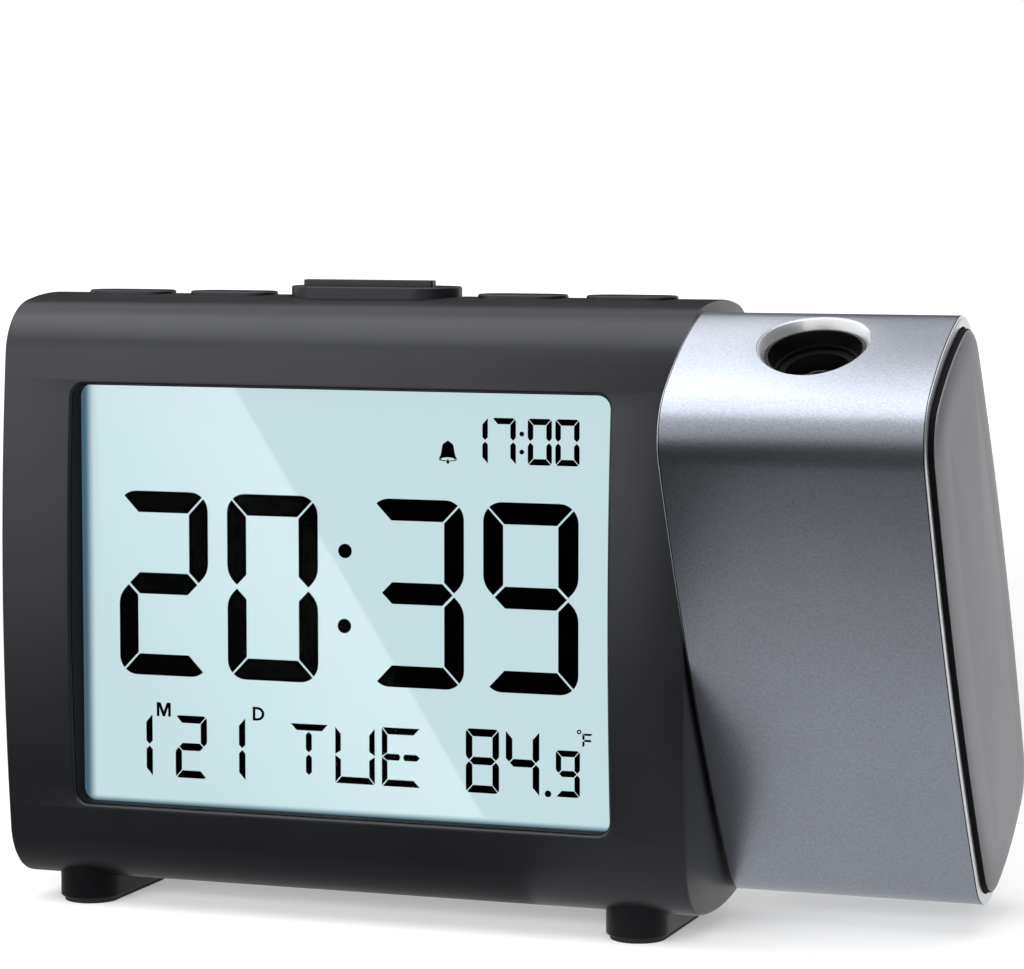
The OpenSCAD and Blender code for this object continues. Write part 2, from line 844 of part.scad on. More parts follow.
module rear_cover() {
    color("#242528") lift() difference() {
        union() {
            intersection() {
                section_skin(body_x0, body_x1, 0, cover_t);
                slab_y(body_cx, 0, cover_w, cover_h, cover_r, 0, half_d + 1);
            }
            intersection() {
                section_bar(body_x0, body_x1, cover_t / 2);
                union() {
                    slab_y(door_x, door_z, box_out_w, box_out_h, 2, box_floor_y - box_t, half_d);
                    for (sx = [-1, 1])
                        rod_y(port_board_x + sx * port_boss_dx, port_z + port_boss_dz, boss_d,
                            port_board_back, half_d);
                }
            }
        }
        slab_y(door_x, door_z, cell_room, box_h, box_r, box_floor_y, half_d + 1);
        difference() {
            box(door_x - door_w / 2 - door_gap, door_x + door_w / 2 + door_gap, 0, half_d + 1,
                door_z - door_h / 2 - door_gap, door_z + door_h / 2 + door_gap);
            section_bar(body_x0, body_x1, cover_t);
        }
        rod_x(door_axis_y, door_axis_z, door_pin_d + 2 * run_fit,
            door_x - door_w / 2 - door_gap - door_pin_l, door_x + door_w / 2 + door_gap + door_pin_l);
        rod_y(door_x, door_z + door_h / 2, notch_d, side_y(door_z + door_h / 2) - notch_t, half_d + 1);
        slab_y(charge_x, port_z, charge_w + 2 * drop_fit, charge_h + 2 * drop_fit, 0.4, 0, half_d + 1);
        slab_y(inlet_x, port_z, inlet_w + 2 * drop_fit, inlet_h + 2 * drop_fit,
            inlet_h / 2 + drop_fit - 0.01, 0, half_d + 1);
        for (i = [0 : vent_n - 1])
            slab_y(vent_x + (i - (vent_n - 1) / 2) * vent_pitch, vent_z, vent_w, vent_h,
                vent_w / 2 - 0.01, 0, half_d + 1);
        at_corners(cover_screw_dx, cover_screw_dz) {
            rod_y(0, 0, pilot_d, 0, half_d + 1);
            rod_y(0, 0, screw_head_d + 2 * drop_fit, side_y(cover_screw_dz) - head_sink, half_d + 1);
        }
        for (sx = [-1, 1])
            rod_y(port_board_x + sx * port_boss_dx, port_z + port_boss_dz, pilot_d,
                port_board_back - 1, port_board_back + port_screw_l + pilot_over);
    }
}

module cover_screws() {
    color("#4a4c50") lift() at_corners(cover_screw_dx, cover_screw_dz)
        screw_y(0, 0, side_y(cover_screw_dz) - head_sink, cover_screw_l);
}

module battery_door() {
    color("#232427") lift() {
        intersection() {
            section_skin(body_x0, body_x1, 0, door_t);
            box(door_x - door_w / 2, door_x + door_w / 2, 0, half_d + 1,
                door_axis_z, door_z + door_h / 2);
        }
        rod_x(door_axis_y, door_axis_z, door_t, door_x - door_w / 2, door_x + door_w / 2);
        rod_x(door_axis_y, door_axis_z, door_pin_d,
            door_x - door_w / 2 - door_pin_l, door_x + door_w / 2 + door_pin_l);
    }
}

module battery_cells() {
    color("#8d9299") lift() for (s = [-1, 1])
        translate([door_x, cell_y, door_z + s * cell_pitch / 2]) rotate([0, 90 * s, 0]) {
            translate([0, 0, -cell_room / 2 + contact_t + spring_l])
                cylinder(h = cell_l - cell_nub, d = cell_d);
            translate([0, 0, -cell_room / 2 + contact_t + spring_l])
                cylinder(h = cell_l, d = nub_d);
        }
}

// Zigzag outline of a coil spring, drawn as a ring of bulges
function coil_profile(r, wire, length, turns) = concat(
    [for (i = [0 : 2 * turns]) [r + (i % 2 == 1 ? wire / 2 : 0.1), length * i / (2 * turns)]],
    [for (i = [2 * turns : -1 : 0]) [r - (i % 2 == 1 ? wire / 2 : 0.1), length * i / (2 * turns)]]);

module battery_contacts() {
    color("#d4d7da") lift() for (s = [-1, 1]) {
        box(door_x + s * (cell_room - contact_t) / 2 - contact_t / 2,
            door_x + s * (cell_room - contact_t) / 2 + contact_t / 2,
            box_floor_y + cell_under, cell_top_y, door_z - box_h / 2 + box_r,
            door_z + box_h / 2 - box_r);
        translate([door_x, cell_y, door_z + s * cell_pitch / 2]) rotate([0, 90 * s, 0])
            translate([0, 0, -cell_room / 2 + contact_t])
                rotate_extrude() polygon(coil_profile(coil_r, coil_wire, spring_l, coil_turns));
    }
}

module power_board() {
    color("#1f5d3a") lift() difference() {
        slab_y(port_board_x, port_z, port_board_w, port_board_h, 1, port_board_y, port_board_back);
        for (sx = [-1, 1])
            rod_y(port_board_x + sx * port_boss_dx, port_z + port_boss_dz, pilot_d,
                port_board_y - 1, port_board_back + 1);
    }
}

module power_board_screws() {
    color("#b8bcc2") lift() for (sx = [-1, 1])
        translate([port_board_x + sx * port_boss_dx, port_board_y, port_z + port_boss_dz])
            rotate([0, 0, 180]) screw_y(0, 0, 0, board_t + port_screw_l);
}

module charging_port() {
    color("#c9ccd0") lift() {
        difference() {
            slab_y(charge_x, port_z, charge_w, charge_h, 0.3, port_board_back, port_end);
            slab_y(charge_x, port_z, charge_w - 2 * socket_wall, charge_h - 2 * socket_wall, 0.2,
                port_board_back + socket_floor, port_end + 1);
        }
        slab_y(charge_x, charge_tongue_z, charge_w - 2 * tongue_side, charge_tongue_t, 0.2,
            port_board_back + socket_floor / 2, port_end - tongue_sink);
    }
}

module power_inlet() {
    color("#c9ccd0") lift() {
        difference() {
            slab_y(inlet_x, port_z, inlet_w, inlet_h, inlet_h / 2 - 0.01, port_board_back, port_end);
            slab_y(inlet_x, port_z, inlet_w - 2 * socket_wall, inlet_h - 2 * socket_wall,
                inlet_h / 2 - socket_wall - 0.01, port_board_back + socket_floor, port_end + 1);
        }
        slab_y(inlet_x, port_z, inlet_w - 2 * tongue_side, inlet_tongue_t, 0.2,
            port_board_back + socket_floor / 2, port_end - tongue_sink);
    }
}

module temperature_sensor() {
    color("#2f3034") lift() intersection() {
        rod_y(sensor_x, vent_z, sensor_d, side_y(vent_z) - cover_t - sensor_l, half_d);
        section_bar(body_x0, body_x1, cover_t);
    }
}

module wire_plug() {
    color("#ece9df") lift() box(wire_start_x - wire_plug_w / 2, wire_start_x + wire_plug_w / 2,
        board_back, -wire_d / 2, -wire_plug_h / 2, wire_plug_h / 2);
}

module wire_harness() {
    color("#a8362c") lift() {
        rod_y(wire_start_x, 0, wire_d, -wire_d / 2, 0);
        translate([wire_start_x, 0, 0]) sphere(d = wire_d);
        rod_x(0, 0, wire_d, wire_start_x, wire_end_x);
    }
}

// ---------- feet ----------

module bar_foot(sx) {
    translate([body_cx + sx * foot_dx, 0, 0]) {
        difference() {
            translate([0, 0, -axis_z + sole_t]) rotate([0, 0, 90])
                linear_extrude(foot_h + corner_r / 2) polygon(stadium(foot_l, foot_w));
            section_bar(-foot_w, foot_w);
        }
        for (sy = [-1, 1]) rod_z(0, sy * peg_dy, peg_d, -half_h - 0.5, -top_in);
    }
}

module foot_left() {
    color("#202124") lift() bar_foot(-1);
}

module foot_right() {
    color("#202124") lift() bar_foot(1);
}

module foot_soles() {
    color("#161617") lift() for (sx = [-1, 1])
        translate([body_cx + sx * foot_dx, 0, -axis_z]) rotate([0, 0, 90])
            linear_extrude(sole_t) polygon(stadium(foot_l - 2 * sole_inset, foot_w - 2 * sole_inset));
}

// ---------- pivot ----------

module ring_x(od, id, x0, x1) {
    difference() {
        rod_x(0, 0, od, x0, x1);
        rod_x(0, 0, id, x0 - 1, x1 + 1);
    }
}

module pivot_bush() {
    color("#dcd8cc") lift() {
        ring_x(bush_d, pivot_d + 2 * run_fit, bush_x0, body_x1);
        ring_x(bush_flange_d, bush_d - bush_wall, body_x1 - wall - bush_flange_t, body_x1 - wall);
    }
}

module friction_washer() {
    color("#3b3b3d") lift() ring_x(washer_d, pivot_d + 2 * drop_fit, washer_x0, bush_x0);
}

module wave_washer() {
    color("#c4c8cc") swing()
        ring_x(pivot_d + 2 * wave_w, pivot_d + 2 * drop_fit, wave_x0, wave_x0 + wave_t);
}

module retaining_ring() {
    color("#8a8e93") swing() ring_x(pivot_d + 2 * ring_w, pivot_d - 2 * pivot_groove + 2 * run_fit,
        ring_x0, ring_x0 + ring_t);
}

module pivot_hub() {
    color("#33353a") swing() difference() {
        union() {
            rod_x(0, 0, pivot_d, pivot_x0, plate_x1 + hub_flange_t);
            rod_x(0, 0, hub_flange_d, plate_x1, plate_x1 + hub_flange_t);
        }
        rod_x(0, 0, pivot_bore, pivot_x0 - 1, plate_x1 + hub_flange_t + 1);
        ring_x(pivot_d + 2 * ring_w, pivot_d - 2 * pivot_groove, ring_x0 - run_fit,
            ring_x0 + ring_t + run_fit);
        hub_screw_places() rod_x(0, 0, pilot_d, plate_x1 - 1, plate_x1 + hub_flange_t + 1);
    }
}

module hub_screw_places() {
    for (a = [30, 150, 270]) rotate([a, 0, 0]) translate([0, hub_screw_r, 0]) children();
}

module hub_screws() {
    color("#b8bcc2") swing() hub_screw_places()
        screw_x(0, 0, plate_x1 + hub_flange_t, hub_flange_t + plate_t - screw_floor - pilot_over / 2);
}

module inboard_plate() {
    color("#1b1c1e") swing() difference() {
        section_bar(plate_x0, plate_x1, sleeve_t + drop_fit);
        rod_x(0, 0, pivot_d + 2 * drop_fit, plate_x0 - 1, plate_x1 + 1);
        hub_screw_places() rod_x(0, 0, pilot_d, plate_x0 + screw_floor, plate_x1 + 1);
        chassis_screw_places() rod_x(0, 0, pilot_d, plate_x0 + screw_floor, plate_x1 + 1);
    }
}

// ---------- projector ----------

module projector_sleeve() {
    color("#9a9ea8") swing() difference() {
        section_skin(sleeve_x0, sleeve_x1, 0, sleeve_t);
        rod_z(sleeve_cx, opening_y, opening_d, 0, half_h + 1);
        slab_y((wheel_x0 + wheel_x1) / 2, wheel_z, wheel_slot_w, wheel_slot_h, wheel_slot_r,
            0, half_d + 1);
    }
}

module chassis_screw_places() {
    for (sy = [-1, 1]) for (sz = [-1, 1])
        translate([0, opening_y + sy * chassis_screw_dy, sz * chassis_screw_z]) children();
}

module chassis_solids() {
    box(chassis_x0, optic_x0, duct_y0, duct_y1, duct_bottom, duct_top);
    box(chassis_x0, chassis_x1, duct_y0, duct_y0 + chassis_t, duct_bottom, duct_top + top_plate_t);
    box(chassis_x0, chassis_x1, duct_y1 - chassis_t, duct_y1, duct_bottom, back_wall_top);
    box(chassis_x0, chassis_x1, duct_y0, duct_y1, duct_top, duct_top + top_plate_t);
    for (z = [lcd_shelf_z, lens_shelf_z, led_shelf_z])
        box(shelf_x0, chassis_x1, duct_y0 + shelf_lap, duct_y1 - shelf_lap, z, z + shelf_t);
    rod_x(wheel_y, wheel_z, ear_d, chassis_x0, sleeve_cx - pinion_w / 2 - ear_gap);
    rod_x(wheel_y, wheel_z, ear_d, wheel_x1 + ear_gap, wheel_x1 + ear_gap + axle_l);
    box(wheel_x1 + ear_gap, wheel_x1 + ear_gap + axle_l, wheel_y - ear_d / 2, duct_y1,
        back_wall_top - ear_root, wheel_z);
    for (p = cap_screw_places) rod_x(p[0], p[1], boss_d, chassis_x1 - cap_boss_l, chassis_x1);
}

module projector_chassis() {
    color("#202124") swing() difference() {
        chassis_solids();
        rod_x(0, 0, hub_flange_d + 2 * hub_room, chassis_x0 - 1, optic_x0 + screw_head_t + hub_room);
        chassis_screw_places() rod_x(0, 0, pilot_d, chassis_x0 - 1, optic_x0 + 1);
        rod_x(wheel_y, wheel_z, axle_d + 2 * run_fit, sleeve_cx - pinion_w / 2 - axle_l - ear_gap,
            wheel_x1 + axle_l + ear_gap);
        rod_z(sleeve_cx, opening_y, guide_out_d + 2 * run_fit, duct_top - 1, duct_top + 3);
        slab_z(sleeve_cx, opening_y, slide_window, slide_window, 0.5, lcd_shelf_z - 1, lcd_shelf_z + 3);
        rod_z(sleeve_cx, opening_y, condenser_d - 2, lens_shelf_z - 1, lens_shelf_z + 3);
        rod_z(sleeve_cx, opening_y, led_d + 2 * drop_fit, led_shelf_z - 1, led_shelf_z + 3);
        for (p = cap_screw_places)
            rod_x(p[0], p[1], pilot_d, chassis_x1 - cap_boss_l + 0.8, chassis_x1 + 1);
    }
}

module chassis_screws() {
    color("#b8bcc2") swing() chassis_screw_places()
        screw_x(0, 0, optic_x0, chassis_back_t + plate_t - screw_floor - pilot_over / 2);
}

module lens_bezel() {
    color("#141416") swing() difference() {
        union() {
            intersection() {
                section_bar(sleeve_x0, sleeve_x1, bezel_drop);
                rod_z(sleeve_cx, opening_y, bezel_d, bezel_flange_z, half_h);
            }
            intersection() {
                section_bar(sleeve_x0, sleeve_x1, sleeve_t + run_fit);
                rod_z(sleeve_cx, opening_y, bezel_flange_d, bezel_flange_z, half_h);
            }
            rod_z(sleeve_cx, opening_y, guide_out_d, guide_low, bezel_flange_z + 0.5);
        }
        translate([sleeve_cx, opening_y, well_z])
            cylinder(h = well_depth + 0.2, d1 = guide_d + well_step, d2 = bezel_d - 2 * bezel_lip);
        rod_z(sleeve_cx, opening_y, guide_d, guide_low - 1, half_h);
    }
}

module projection_lcd() {
    color("#6d8f9c") swing() slab_z(sleeve_cx, opening_y, slide_size, slide_size, 0.5,
        lcd_shelf_z + shelf_t, lcd_shelf_z + shelf_t + slide_t);
}

module condenser_lens() {
    color("#dfeff2", 0.5) swing() translate([sleeve_cx, opening_y, lens_shelf_z + shelf_t])
        dome_lens(condenser_d, condenser_rim, condenser_dome);
}

module led_board() {
    color("#1f5d3a") swing() slab_z(sleeve_cx, opening_y, led_board_size, led_board_size, 1,
        led_shelf_z - board_t, led_shelf_z);
}

module projector_led() {
    color("#d8322c") swing() translate([sleeve_cx, opening_y, led_shelf_z]) {
        cylinder(h = led_l - led_d / 2, d = led_d);
        translate([0, 0, led_l - led_d / 2]) sphere(d = led_d);
    }
}

module led_heat_sink() {
    color("#b9bec5") swing() translate([sleeve_cx, opening_y, led_shelf_z - board_t]) {
        box(-sink_w / 2, sink_w / 2, -sink_w / 2, sink_w / 2, -sink_base_t, 0);
        for (i = [0 : sink_fins - 1])
            translate([0, (i - (sink_fins - 1) / 2) * (sink_w - sink_fin_t) / (sink_fins - 1), 0])
                box(-sink_w / 2, sink_w / 2, -sink_fin_t / 2, sink_fin_t / 2,
                    -sink_base_t - sink_fin_h, -sink_base_t + 0.5);
    }
}

module led_leads() {
    lead_z = led_shelf_z - board_t / 2;
    color("#a8362c") swing() {
        rod_x(0, 0, lead_d, wire_end_x + lead_gap, lead_x);
        translate([lead_x, 0, 0]) sphere(d = lead_d);
        rod_z(lead_x, 0, lead_d, lead_z, 0);
        translate([lead_x, 0, lead_z]) sphere(d = lead_d);
        rod_x(0, lead_z, lead_d, lead_x, sleeve_cx - led_board_size / 2);
    }
}

// ---------- cap ----------

module cap_base() {
    color("#121214") swing() difference() {
        union() {
            section_skin(cap_floor_x0, cap_x, cap_inset, cap_inset + cap_wall);
            section_bar(cap_floor_x0, cap_floor_x0 + cap_floor_t, cap_inset + cap_wall / 2);
        }
        for (p = cap_screw_places) rod_x(p[0], p[1], pilot_d, cap_floor_x0 - 1, cap_x);
        for (sz = [-1, 1]) rod_x(0, sz * peg_z, peg_d + 2 * run_fit, cap_floor_x0 - 1, cap_x);
    }
}

module cap_screws() {
    color("#b8bcc2") swing() for (p = cap_screw_places)
        screw_x(p[0], p[1], cap_floor_x0 + cap_floor_t, cap_floor_t + cap_screw_l);
}

// Rings of the dome: s runs from its edge, 0, to its flat middle, 1
function dome_ring(s) = [for (p = section_ring(cap_inset + cap_edge + cap_blend * s))
    [cap_x + cap_dome * sqrt(1 - pow(1 - s, 3)), p[0], p[1]]];

module cap_dome_solid() {
    n = len(section_ring());
    points = [for (k = [0 : cap_rings]) each dome_ring(pow(k / cap_rings, 2))];
    sides = [for (k = [0 : cap_rings - 1]) for (i = [0 : n - 1]) let (j = (i + 1) % n)
        each [[k * n + i, k * n + n + i, k * n + j], [k * n + j, k * n + n + i, k * n + n + j]]];
    base = [[for (i = [0 : n - 1]) i]];
    top = [[for (i = [n - 1 : -1 : 0]) cap_rings * n + i]];
    polyhedron(points, concat(sides, base, top));
}

module end_cap() {
    color("#8f9095") swing() {
        cap_dome_solid();
        section_bar(cap_x - cap_plug, cap_x + cap_weld, cap_inset + cap_wall + drop_fit);
        for (sz = [-1, 1]) rod_x(0, sz * peg_z, peg_d, cap_floor_x0 + peg_tip, cap_x);
    }
}

// ---------- focus ----------

function rack_tooth(z) = [
    [rack_y - dedendum, z - tooth_half - dedendum * tan(tooth_angle)],
    [rack_y + addendum, z - tooth_half + addendum * tan(tooth_angle)],
    [rack_y + addendum, z + tooth_half - addendum * tan(tooth_angle)],
    [rack_y - dedendum, z + tooth_half + dedendum * tan(tooth_angle)]];

// Pinion outline: straight-sided teeth, one of them pointing at the rack
function pinion_ring() = [for (i = [0 : pinion_teeth - 1])
    let (a = 180 + 360 * i / pinion_teeth, low = pitch_r - dedendum, high = pitch_r + addendum)
    for (e = [[low, -tooth_half * 1.15], [pitch_r, -tooth_half], [high, -tooth_half * 0.45],
        [high, tooth_half * 0.45], [pitch_r, tooth_half], [low, tooth_half * 1.15]])
    let (t = a + e[1] / e[0] * 180 / PI) [e[0] * cos(t), e[0] * sin(t)]];

function knurl_ring() = [for (i = [0 : 2 * knurl_n - 1])
    let (a = 180 * i / knurl_n, r = wheel_d / 2 - (i % 2 == 0 ? 0 : knurl_deep))
    [r * cos(a), r * sin(a)]];

module focus_barrel() {
    color("#1a1b1d") swing() difference() {
        union() {
            rod_z(sleeve_cx, opening_y, barrel_d, barrel_top - barrel_l, barrel_top);
            translate([sleeve_cx - rack_w / 2, 0, 0]) {
                box(0, rack_w, opening_y + barrel_bore / 2 + rack_root, rack_y - dedendum,
                    wheel_z - rack_n / 2 * tooth_pitch, wheel_z + rack_n / 2 * tooth_pitch);
                rotate([90, 0, 90]) linear_extrude(rack_w) for (i = [0 : rack_n - 1])
                    polygon(rack_tooth(wheel_z + (i - (rack_n - 1) / 2) * tooth_pitch));
            }
        }
        rod_z(sleeve_cx, opening_y, barrel_bore, barrel_top - lens_seat, barrel_top + 1);
        rod_z(sleeve_cx, opening_y, barrel_low_bore, barrel_top - barrel_l - 1, barrel_top);
    }
}

module objective_lens() {
    color("#f0b8b4", 0.5) swing() translate([sleeve_cx, opening_y, barrel_top - lens_seat])
        dome_lens(barrel_bore - 2 * run_fit, objective_rim, objective_dome);
}

module focus_wheel() {
    color("#2a2b2e") swing() {
        translate([wheel_x0, wheel_y, wheel_z]) rotate([90, 0, 90])
            linear_extrude(wheel_w) polygon(knurl_ring());
        translate([sleeve_cx - pinion_w / 2, wheel_y, wheel_z]) rotate([90, 0, 90])
            linear_extrude(wheel_x0 - sleeve_cx + pinion_w / 2 + 0.5) polygon(pinion_ring());
        rod_x(wheel_y, wheel_z, axle_d, sleeve_cx - pinion_w / 2 - axle_l, wheel_x1 + axle_l);
    }
}

main_housing();
rear_cover();
battery_door();
battery_cells();
battery_contacts();
cover_screws();
display_lens();
lcd_glass();
lcd_frame();
light_guide();
backlight_leds();
zebra_strips();
main_board();
board_screws();
clock_chip();
crystal();
capacitors();
buzzer();
key_board();
key_switches();
key_board_screws();
key_ribbon();
power_board();
power_board_screws();
power_inlet();
charging_port();
temperature_sensor();
wire_plug();
wire_harness();
foot_left();
foot_right();
foot_soles();
pivot_bush();
friction_washer();
set_button();
alarm_button();
snooze_bar();
minus_button();
plus_button();
projector_sleeve();
inboard_plate();
pivot_hub();
hub_screws();
wave_washer();
retaining_ring();
projector_chassis();
chassis_screws();
lens_bezel();
projection_lcd();
condenser_lens();
projector_led();
led_board();
led_heat_sink();
led_leads();
cap_base();
cap_screws();
end_cap();
focus_barrel();
objective_lens();
focus_wheel();
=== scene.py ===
# %% [markdown]
# # A projection alarm clock
# A tube-like black body carries a large display and a row of keys. At its right end a
# metal sleeve, with the same rounded section, swivels about the long axis and throws the
# time on the ceiling through a lens in its top. This lesson dresses the measured model:
# each cell makes one piece or one finish and prints what came out.

import json
import math

import bmesh
import bpy
import numpy as np
from mathutils import Matrix, Vector

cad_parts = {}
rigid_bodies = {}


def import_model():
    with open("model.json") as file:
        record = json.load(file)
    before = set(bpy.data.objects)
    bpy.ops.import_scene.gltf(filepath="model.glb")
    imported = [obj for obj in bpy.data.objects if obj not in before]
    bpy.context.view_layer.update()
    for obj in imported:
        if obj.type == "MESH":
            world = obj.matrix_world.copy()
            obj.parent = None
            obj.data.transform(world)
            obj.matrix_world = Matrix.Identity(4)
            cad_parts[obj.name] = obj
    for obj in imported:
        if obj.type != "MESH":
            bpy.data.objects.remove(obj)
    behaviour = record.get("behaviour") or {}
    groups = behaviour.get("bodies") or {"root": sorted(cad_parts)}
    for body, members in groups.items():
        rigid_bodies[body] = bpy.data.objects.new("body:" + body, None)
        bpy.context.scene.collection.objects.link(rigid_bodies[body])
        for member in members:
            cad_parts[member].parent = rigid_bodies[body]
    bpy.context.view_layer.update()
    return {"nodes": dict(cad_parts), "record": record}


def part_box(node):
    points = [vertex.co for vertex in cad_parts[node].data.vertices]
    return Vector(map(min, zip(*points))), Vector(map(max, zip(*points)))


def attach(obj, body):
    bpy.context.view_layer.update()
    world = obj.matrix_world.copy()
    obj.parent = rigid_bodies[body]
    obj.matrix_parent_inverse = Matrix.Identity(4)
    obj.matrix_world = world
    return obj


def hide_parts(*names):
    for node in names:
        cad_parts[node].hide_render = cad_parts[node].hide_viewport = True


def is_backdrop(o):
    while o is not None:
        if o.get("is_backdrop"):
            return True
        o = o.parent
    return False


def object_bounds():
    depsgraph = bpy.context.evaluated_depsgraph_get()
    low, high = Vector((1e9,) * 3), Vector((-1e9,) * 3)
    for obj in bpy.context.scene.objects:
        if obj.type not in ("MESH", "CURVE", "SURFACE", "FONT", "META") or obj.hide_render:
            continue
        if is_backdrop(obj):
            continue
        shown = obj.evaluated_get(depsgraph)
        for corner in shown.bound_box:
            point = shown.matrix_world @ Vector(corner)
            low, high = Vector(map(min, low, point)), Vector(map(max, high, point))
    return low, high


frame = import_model()

# %% [markdown]
# ## Sizes
# The lesson works in millimetres and turns them into Blender's metres once, when a mesh is
# made. All places along the clock are counted from its middle, heights from the axis that
# the projector turns about.

# %% Sizes in millimetres
MM = 0.001
half_depth, half_height = 19.5, 46.9
corner, side_crown, top_crown = 9.2, 1.9, 0.8
axis_height = 50.3
tilt = math.radians(29.6)
body_left, body_right = -77.0, 35.3
body_mid = (body_left + body_right) / 2
sleeve_left, sleeve_right = 35.7, 75.0
sleeve_mid = (sleeve_left + sleeve_right) / 2
wall = 2.0
lens_front = -14.7
print("body", body_right - body_left, "mm long")
print("sleeve", round(sleeve_right - sleeve_left, 1), "mm long")

# %% [markdown]
# ## The section
# Body and sleeve are one extruded shape: two long, shallow arcs front and back, two short
# ones at top and bottom, and four corner arcs that meet them without a kink. Each shallow
# arc's radius follows from its crown, so a single rule gives every point, and an inset
# section is the same rule with smaller radii.

# %% The section as points
corner_y = half_depth - side_crown - corner
corner_z = half_height - top_crown - corner
side_radius = ((half_depth - corner_y) ** 2 + corner_z**2 - corner**2) / (2 * side_crown)
top_radius = ((half_height - corner_z) ** 2 + corner_y**2 - corner**2) / (2 * top_crown)
side_turn = math.atan2(corner_z, corner_y - half_depth + side_radius)
top_turn = math.atan2(corner_y, corner_z - half_height + top_radius)
side_steps, corner_steps, top_steps = 20, 16, 8


def arc(y, z, radius, start, stop, steps):
    """Points at (y + radius cos a, z + radius sin a), a from start up to, not at, stop."""
    a = np.linspace(start, stop, steps, endpoint=False)
    return np.stack([y + radius * np.cos(a), z + radius * np.sin(a)], 1)


def section_line(inset=0.0):
    """A quarter made of side, corner and top arcs, mirrored in y, then turned half round."""
    upright, top_start = math.pi / 2, math.pi / 2 - top_turn
    quarter = np.concatenate([
        arc(half_depth - side_radius, 0, side_radius - inset, 0, side_turn, side_steps),
        arc(corner_y, corner_z, corner - inset, side_turn, top_start, corner_steps),
        arc(0, half_height - top_radius, top_radius - inset, top_start, upright, top_steps),
    ])
    other = quarter[:0:-1] * [-1, 1]
    upper = np.concatenate([quarter, [[0, half_height - inset]], other])
    return np.concatenate([upper, -upper])


def top_of_section(y):
    """Height of the top at depth y: the top arc, or the corner arc beyond its end."""
    y = np.abs(y)
    flat = half_height - top_radius + np.sqrt(top_radius**2 - y**2)
    turn = corner_z + np.sqrt(np.clip(corner**2 - (y - corner_y) ** 2, 0, None))
    return np.where(y < top_radius * math.sin(top_turn), flat, turn)


def back_of_section(z):
    """Depth of the back at height z, on the long side arc."""
    return half_depth - side_radius + np.sqrt(side_radius**2 - z**2)


print("section of", len(section_line()), "points, side radius", round(side_radius, 1))

# %% [markdown]
# ## A small kit for surfaces
# Every new piece is a stack of closed outlines. A loft joins each outline to the next with
# a belt of quads, all worked out as arrays, and closes the two ends. A pocket is a loft
# too: it flares at its mouth, so that cutting it out leaves a rounded lip, as a mould does.

# %% Outlines
def rounded_rect(width, height, radius, steps=8, along=14):
    """Four quarter circles of the radius about the corners' centres, joined by straight
    sides. The sides carry points too, so that they can bend with the surface they lie on."""
    turn = np.linspace(0, math.pi / 2, steps + 1)
    a = np.arange(4)[:, None] * math.pi / 2 + turn
    x = np.array([[1], [-1], [-1], [1]]) * (width / 2 - radius) + radius * np.cos(a)
    y = np.array([[1], [1], [-1], [-1]]) * (height / 2 - radius) + radius * np.sin(a)
    arcs = np.stack([x, y], -1)
    share = np.linspace(0, 1, along + 2)[1:-1, None]
    here, there = arcs[:, -1:], np.roll(arcs[:, :1], -1, 0)
    sides = here + (there - here) * share
    return np.concatenate([arcs, sides], 1).reshape(-1, 2)


def circle(radius, steps=64):
    """Points at (radius cos a, radius sin a)."""
    a = np.linspace(0, 2 * math.pi, steps, endpoint=False)
    return np.stack([radius * np.cos(a), radius * np.sin(a)], 1)


def pill(length, width):
    """Two half circles, joined by straight sides. A hair of flat keeps its points apart."""
    return rounded_rect(length, width, width / 2 - 0.001, steps=12, along=6)


print("a circle of", len(circle(1)), "points, a pill of", len(pill(2, 1)))


# %% Outlines that grow, and rounded edges
def grows(width, height, radius):
    """A rounded rectangle as a function of how far it is grown on every side."""
    return lambda o: rounded_rect(width + 2 * o, height + 2 * o, radius + o)


def grown_pill(length, width):
    """A pill as a function of how far it is grown on every side."""
    return lambda o: pill(length + 2 * o, width + 2 * o)


def round_off(edge, steps=4):
    """A quarter circle as pairs: edge (1 - sin a) inwards, edge (1 - cos a) along."""
    a = np.linspace(0, math.pi / 2, steps + 1)
    return np.stack([edge * (1 - np.sin(a)), edge * (1 - np.cos(a))], 1)


def both_ends(x0, x1, edge, steps=4):
    """Pairs (x, inset) that round off a bar: its end at x0 first, then its end at x1."""
    way = math.copysign(1, x1 - x0)
    turn = round_off(edge, steps)
    return ([(x0 + way * along, inwards) for inwards, along in turn]
            + [(x1 - way * along, inwards) for inwards, along in turn[::-1]])


print("an edge of", len(round_off(1)), "points")


# %% Meshes from arrays
def belts(rows, columns, wrap):
    """Quads between neighbouring rows of a grid whose columns close into rings."""
    r = np.arange(rows if wrap else rows - 1)[:, None]
    c = np.arange(columns)[None, :]
    following = (c + 1) % columns
    above = ((r + 1) % rows) * columns
    quads = [r * columns + c, r * columns + following, above + following, above + c]
    return np.stack(quads, -1).reshape(-1, 4)


def into_scene(name, data):
    """An object of a mesh, a light or a camera."""
    thing = bpy.data.objects.new(name, data)
    bpy.context.scene.collection.objects.link(thing)
    return thing


def new_object(name, points, faces):
    """A mesh object at the world's origin, its points turned from millimetres to metres."""
    mesh = bpy.data.meshes.new(name)
    mesh.from_pydata((np.asarray(points) * MM).tolist(), [], faces)
    return into_scene(name, mesh)


print("belts of", len(belts(2, 4, False)), "quads on rings of four")


# %% Lofts
crease = 32


def tidy_mesh(thing, angle=crease):
    """Points every face outwards and keeps edges that turn more than the angle sharp."""
    shape = bmesh.new()
    shape.from_mesh(thing.data)
    bmesh.ops.recalc_face_normals(shape, faces=shape.faces)
    shape.to_mesh(thing.data)
    shape.free()
    thing.data.shade_smooth()
    thing.data.set_sharp_from_angle(angle=math.radians(angle))
    return thing


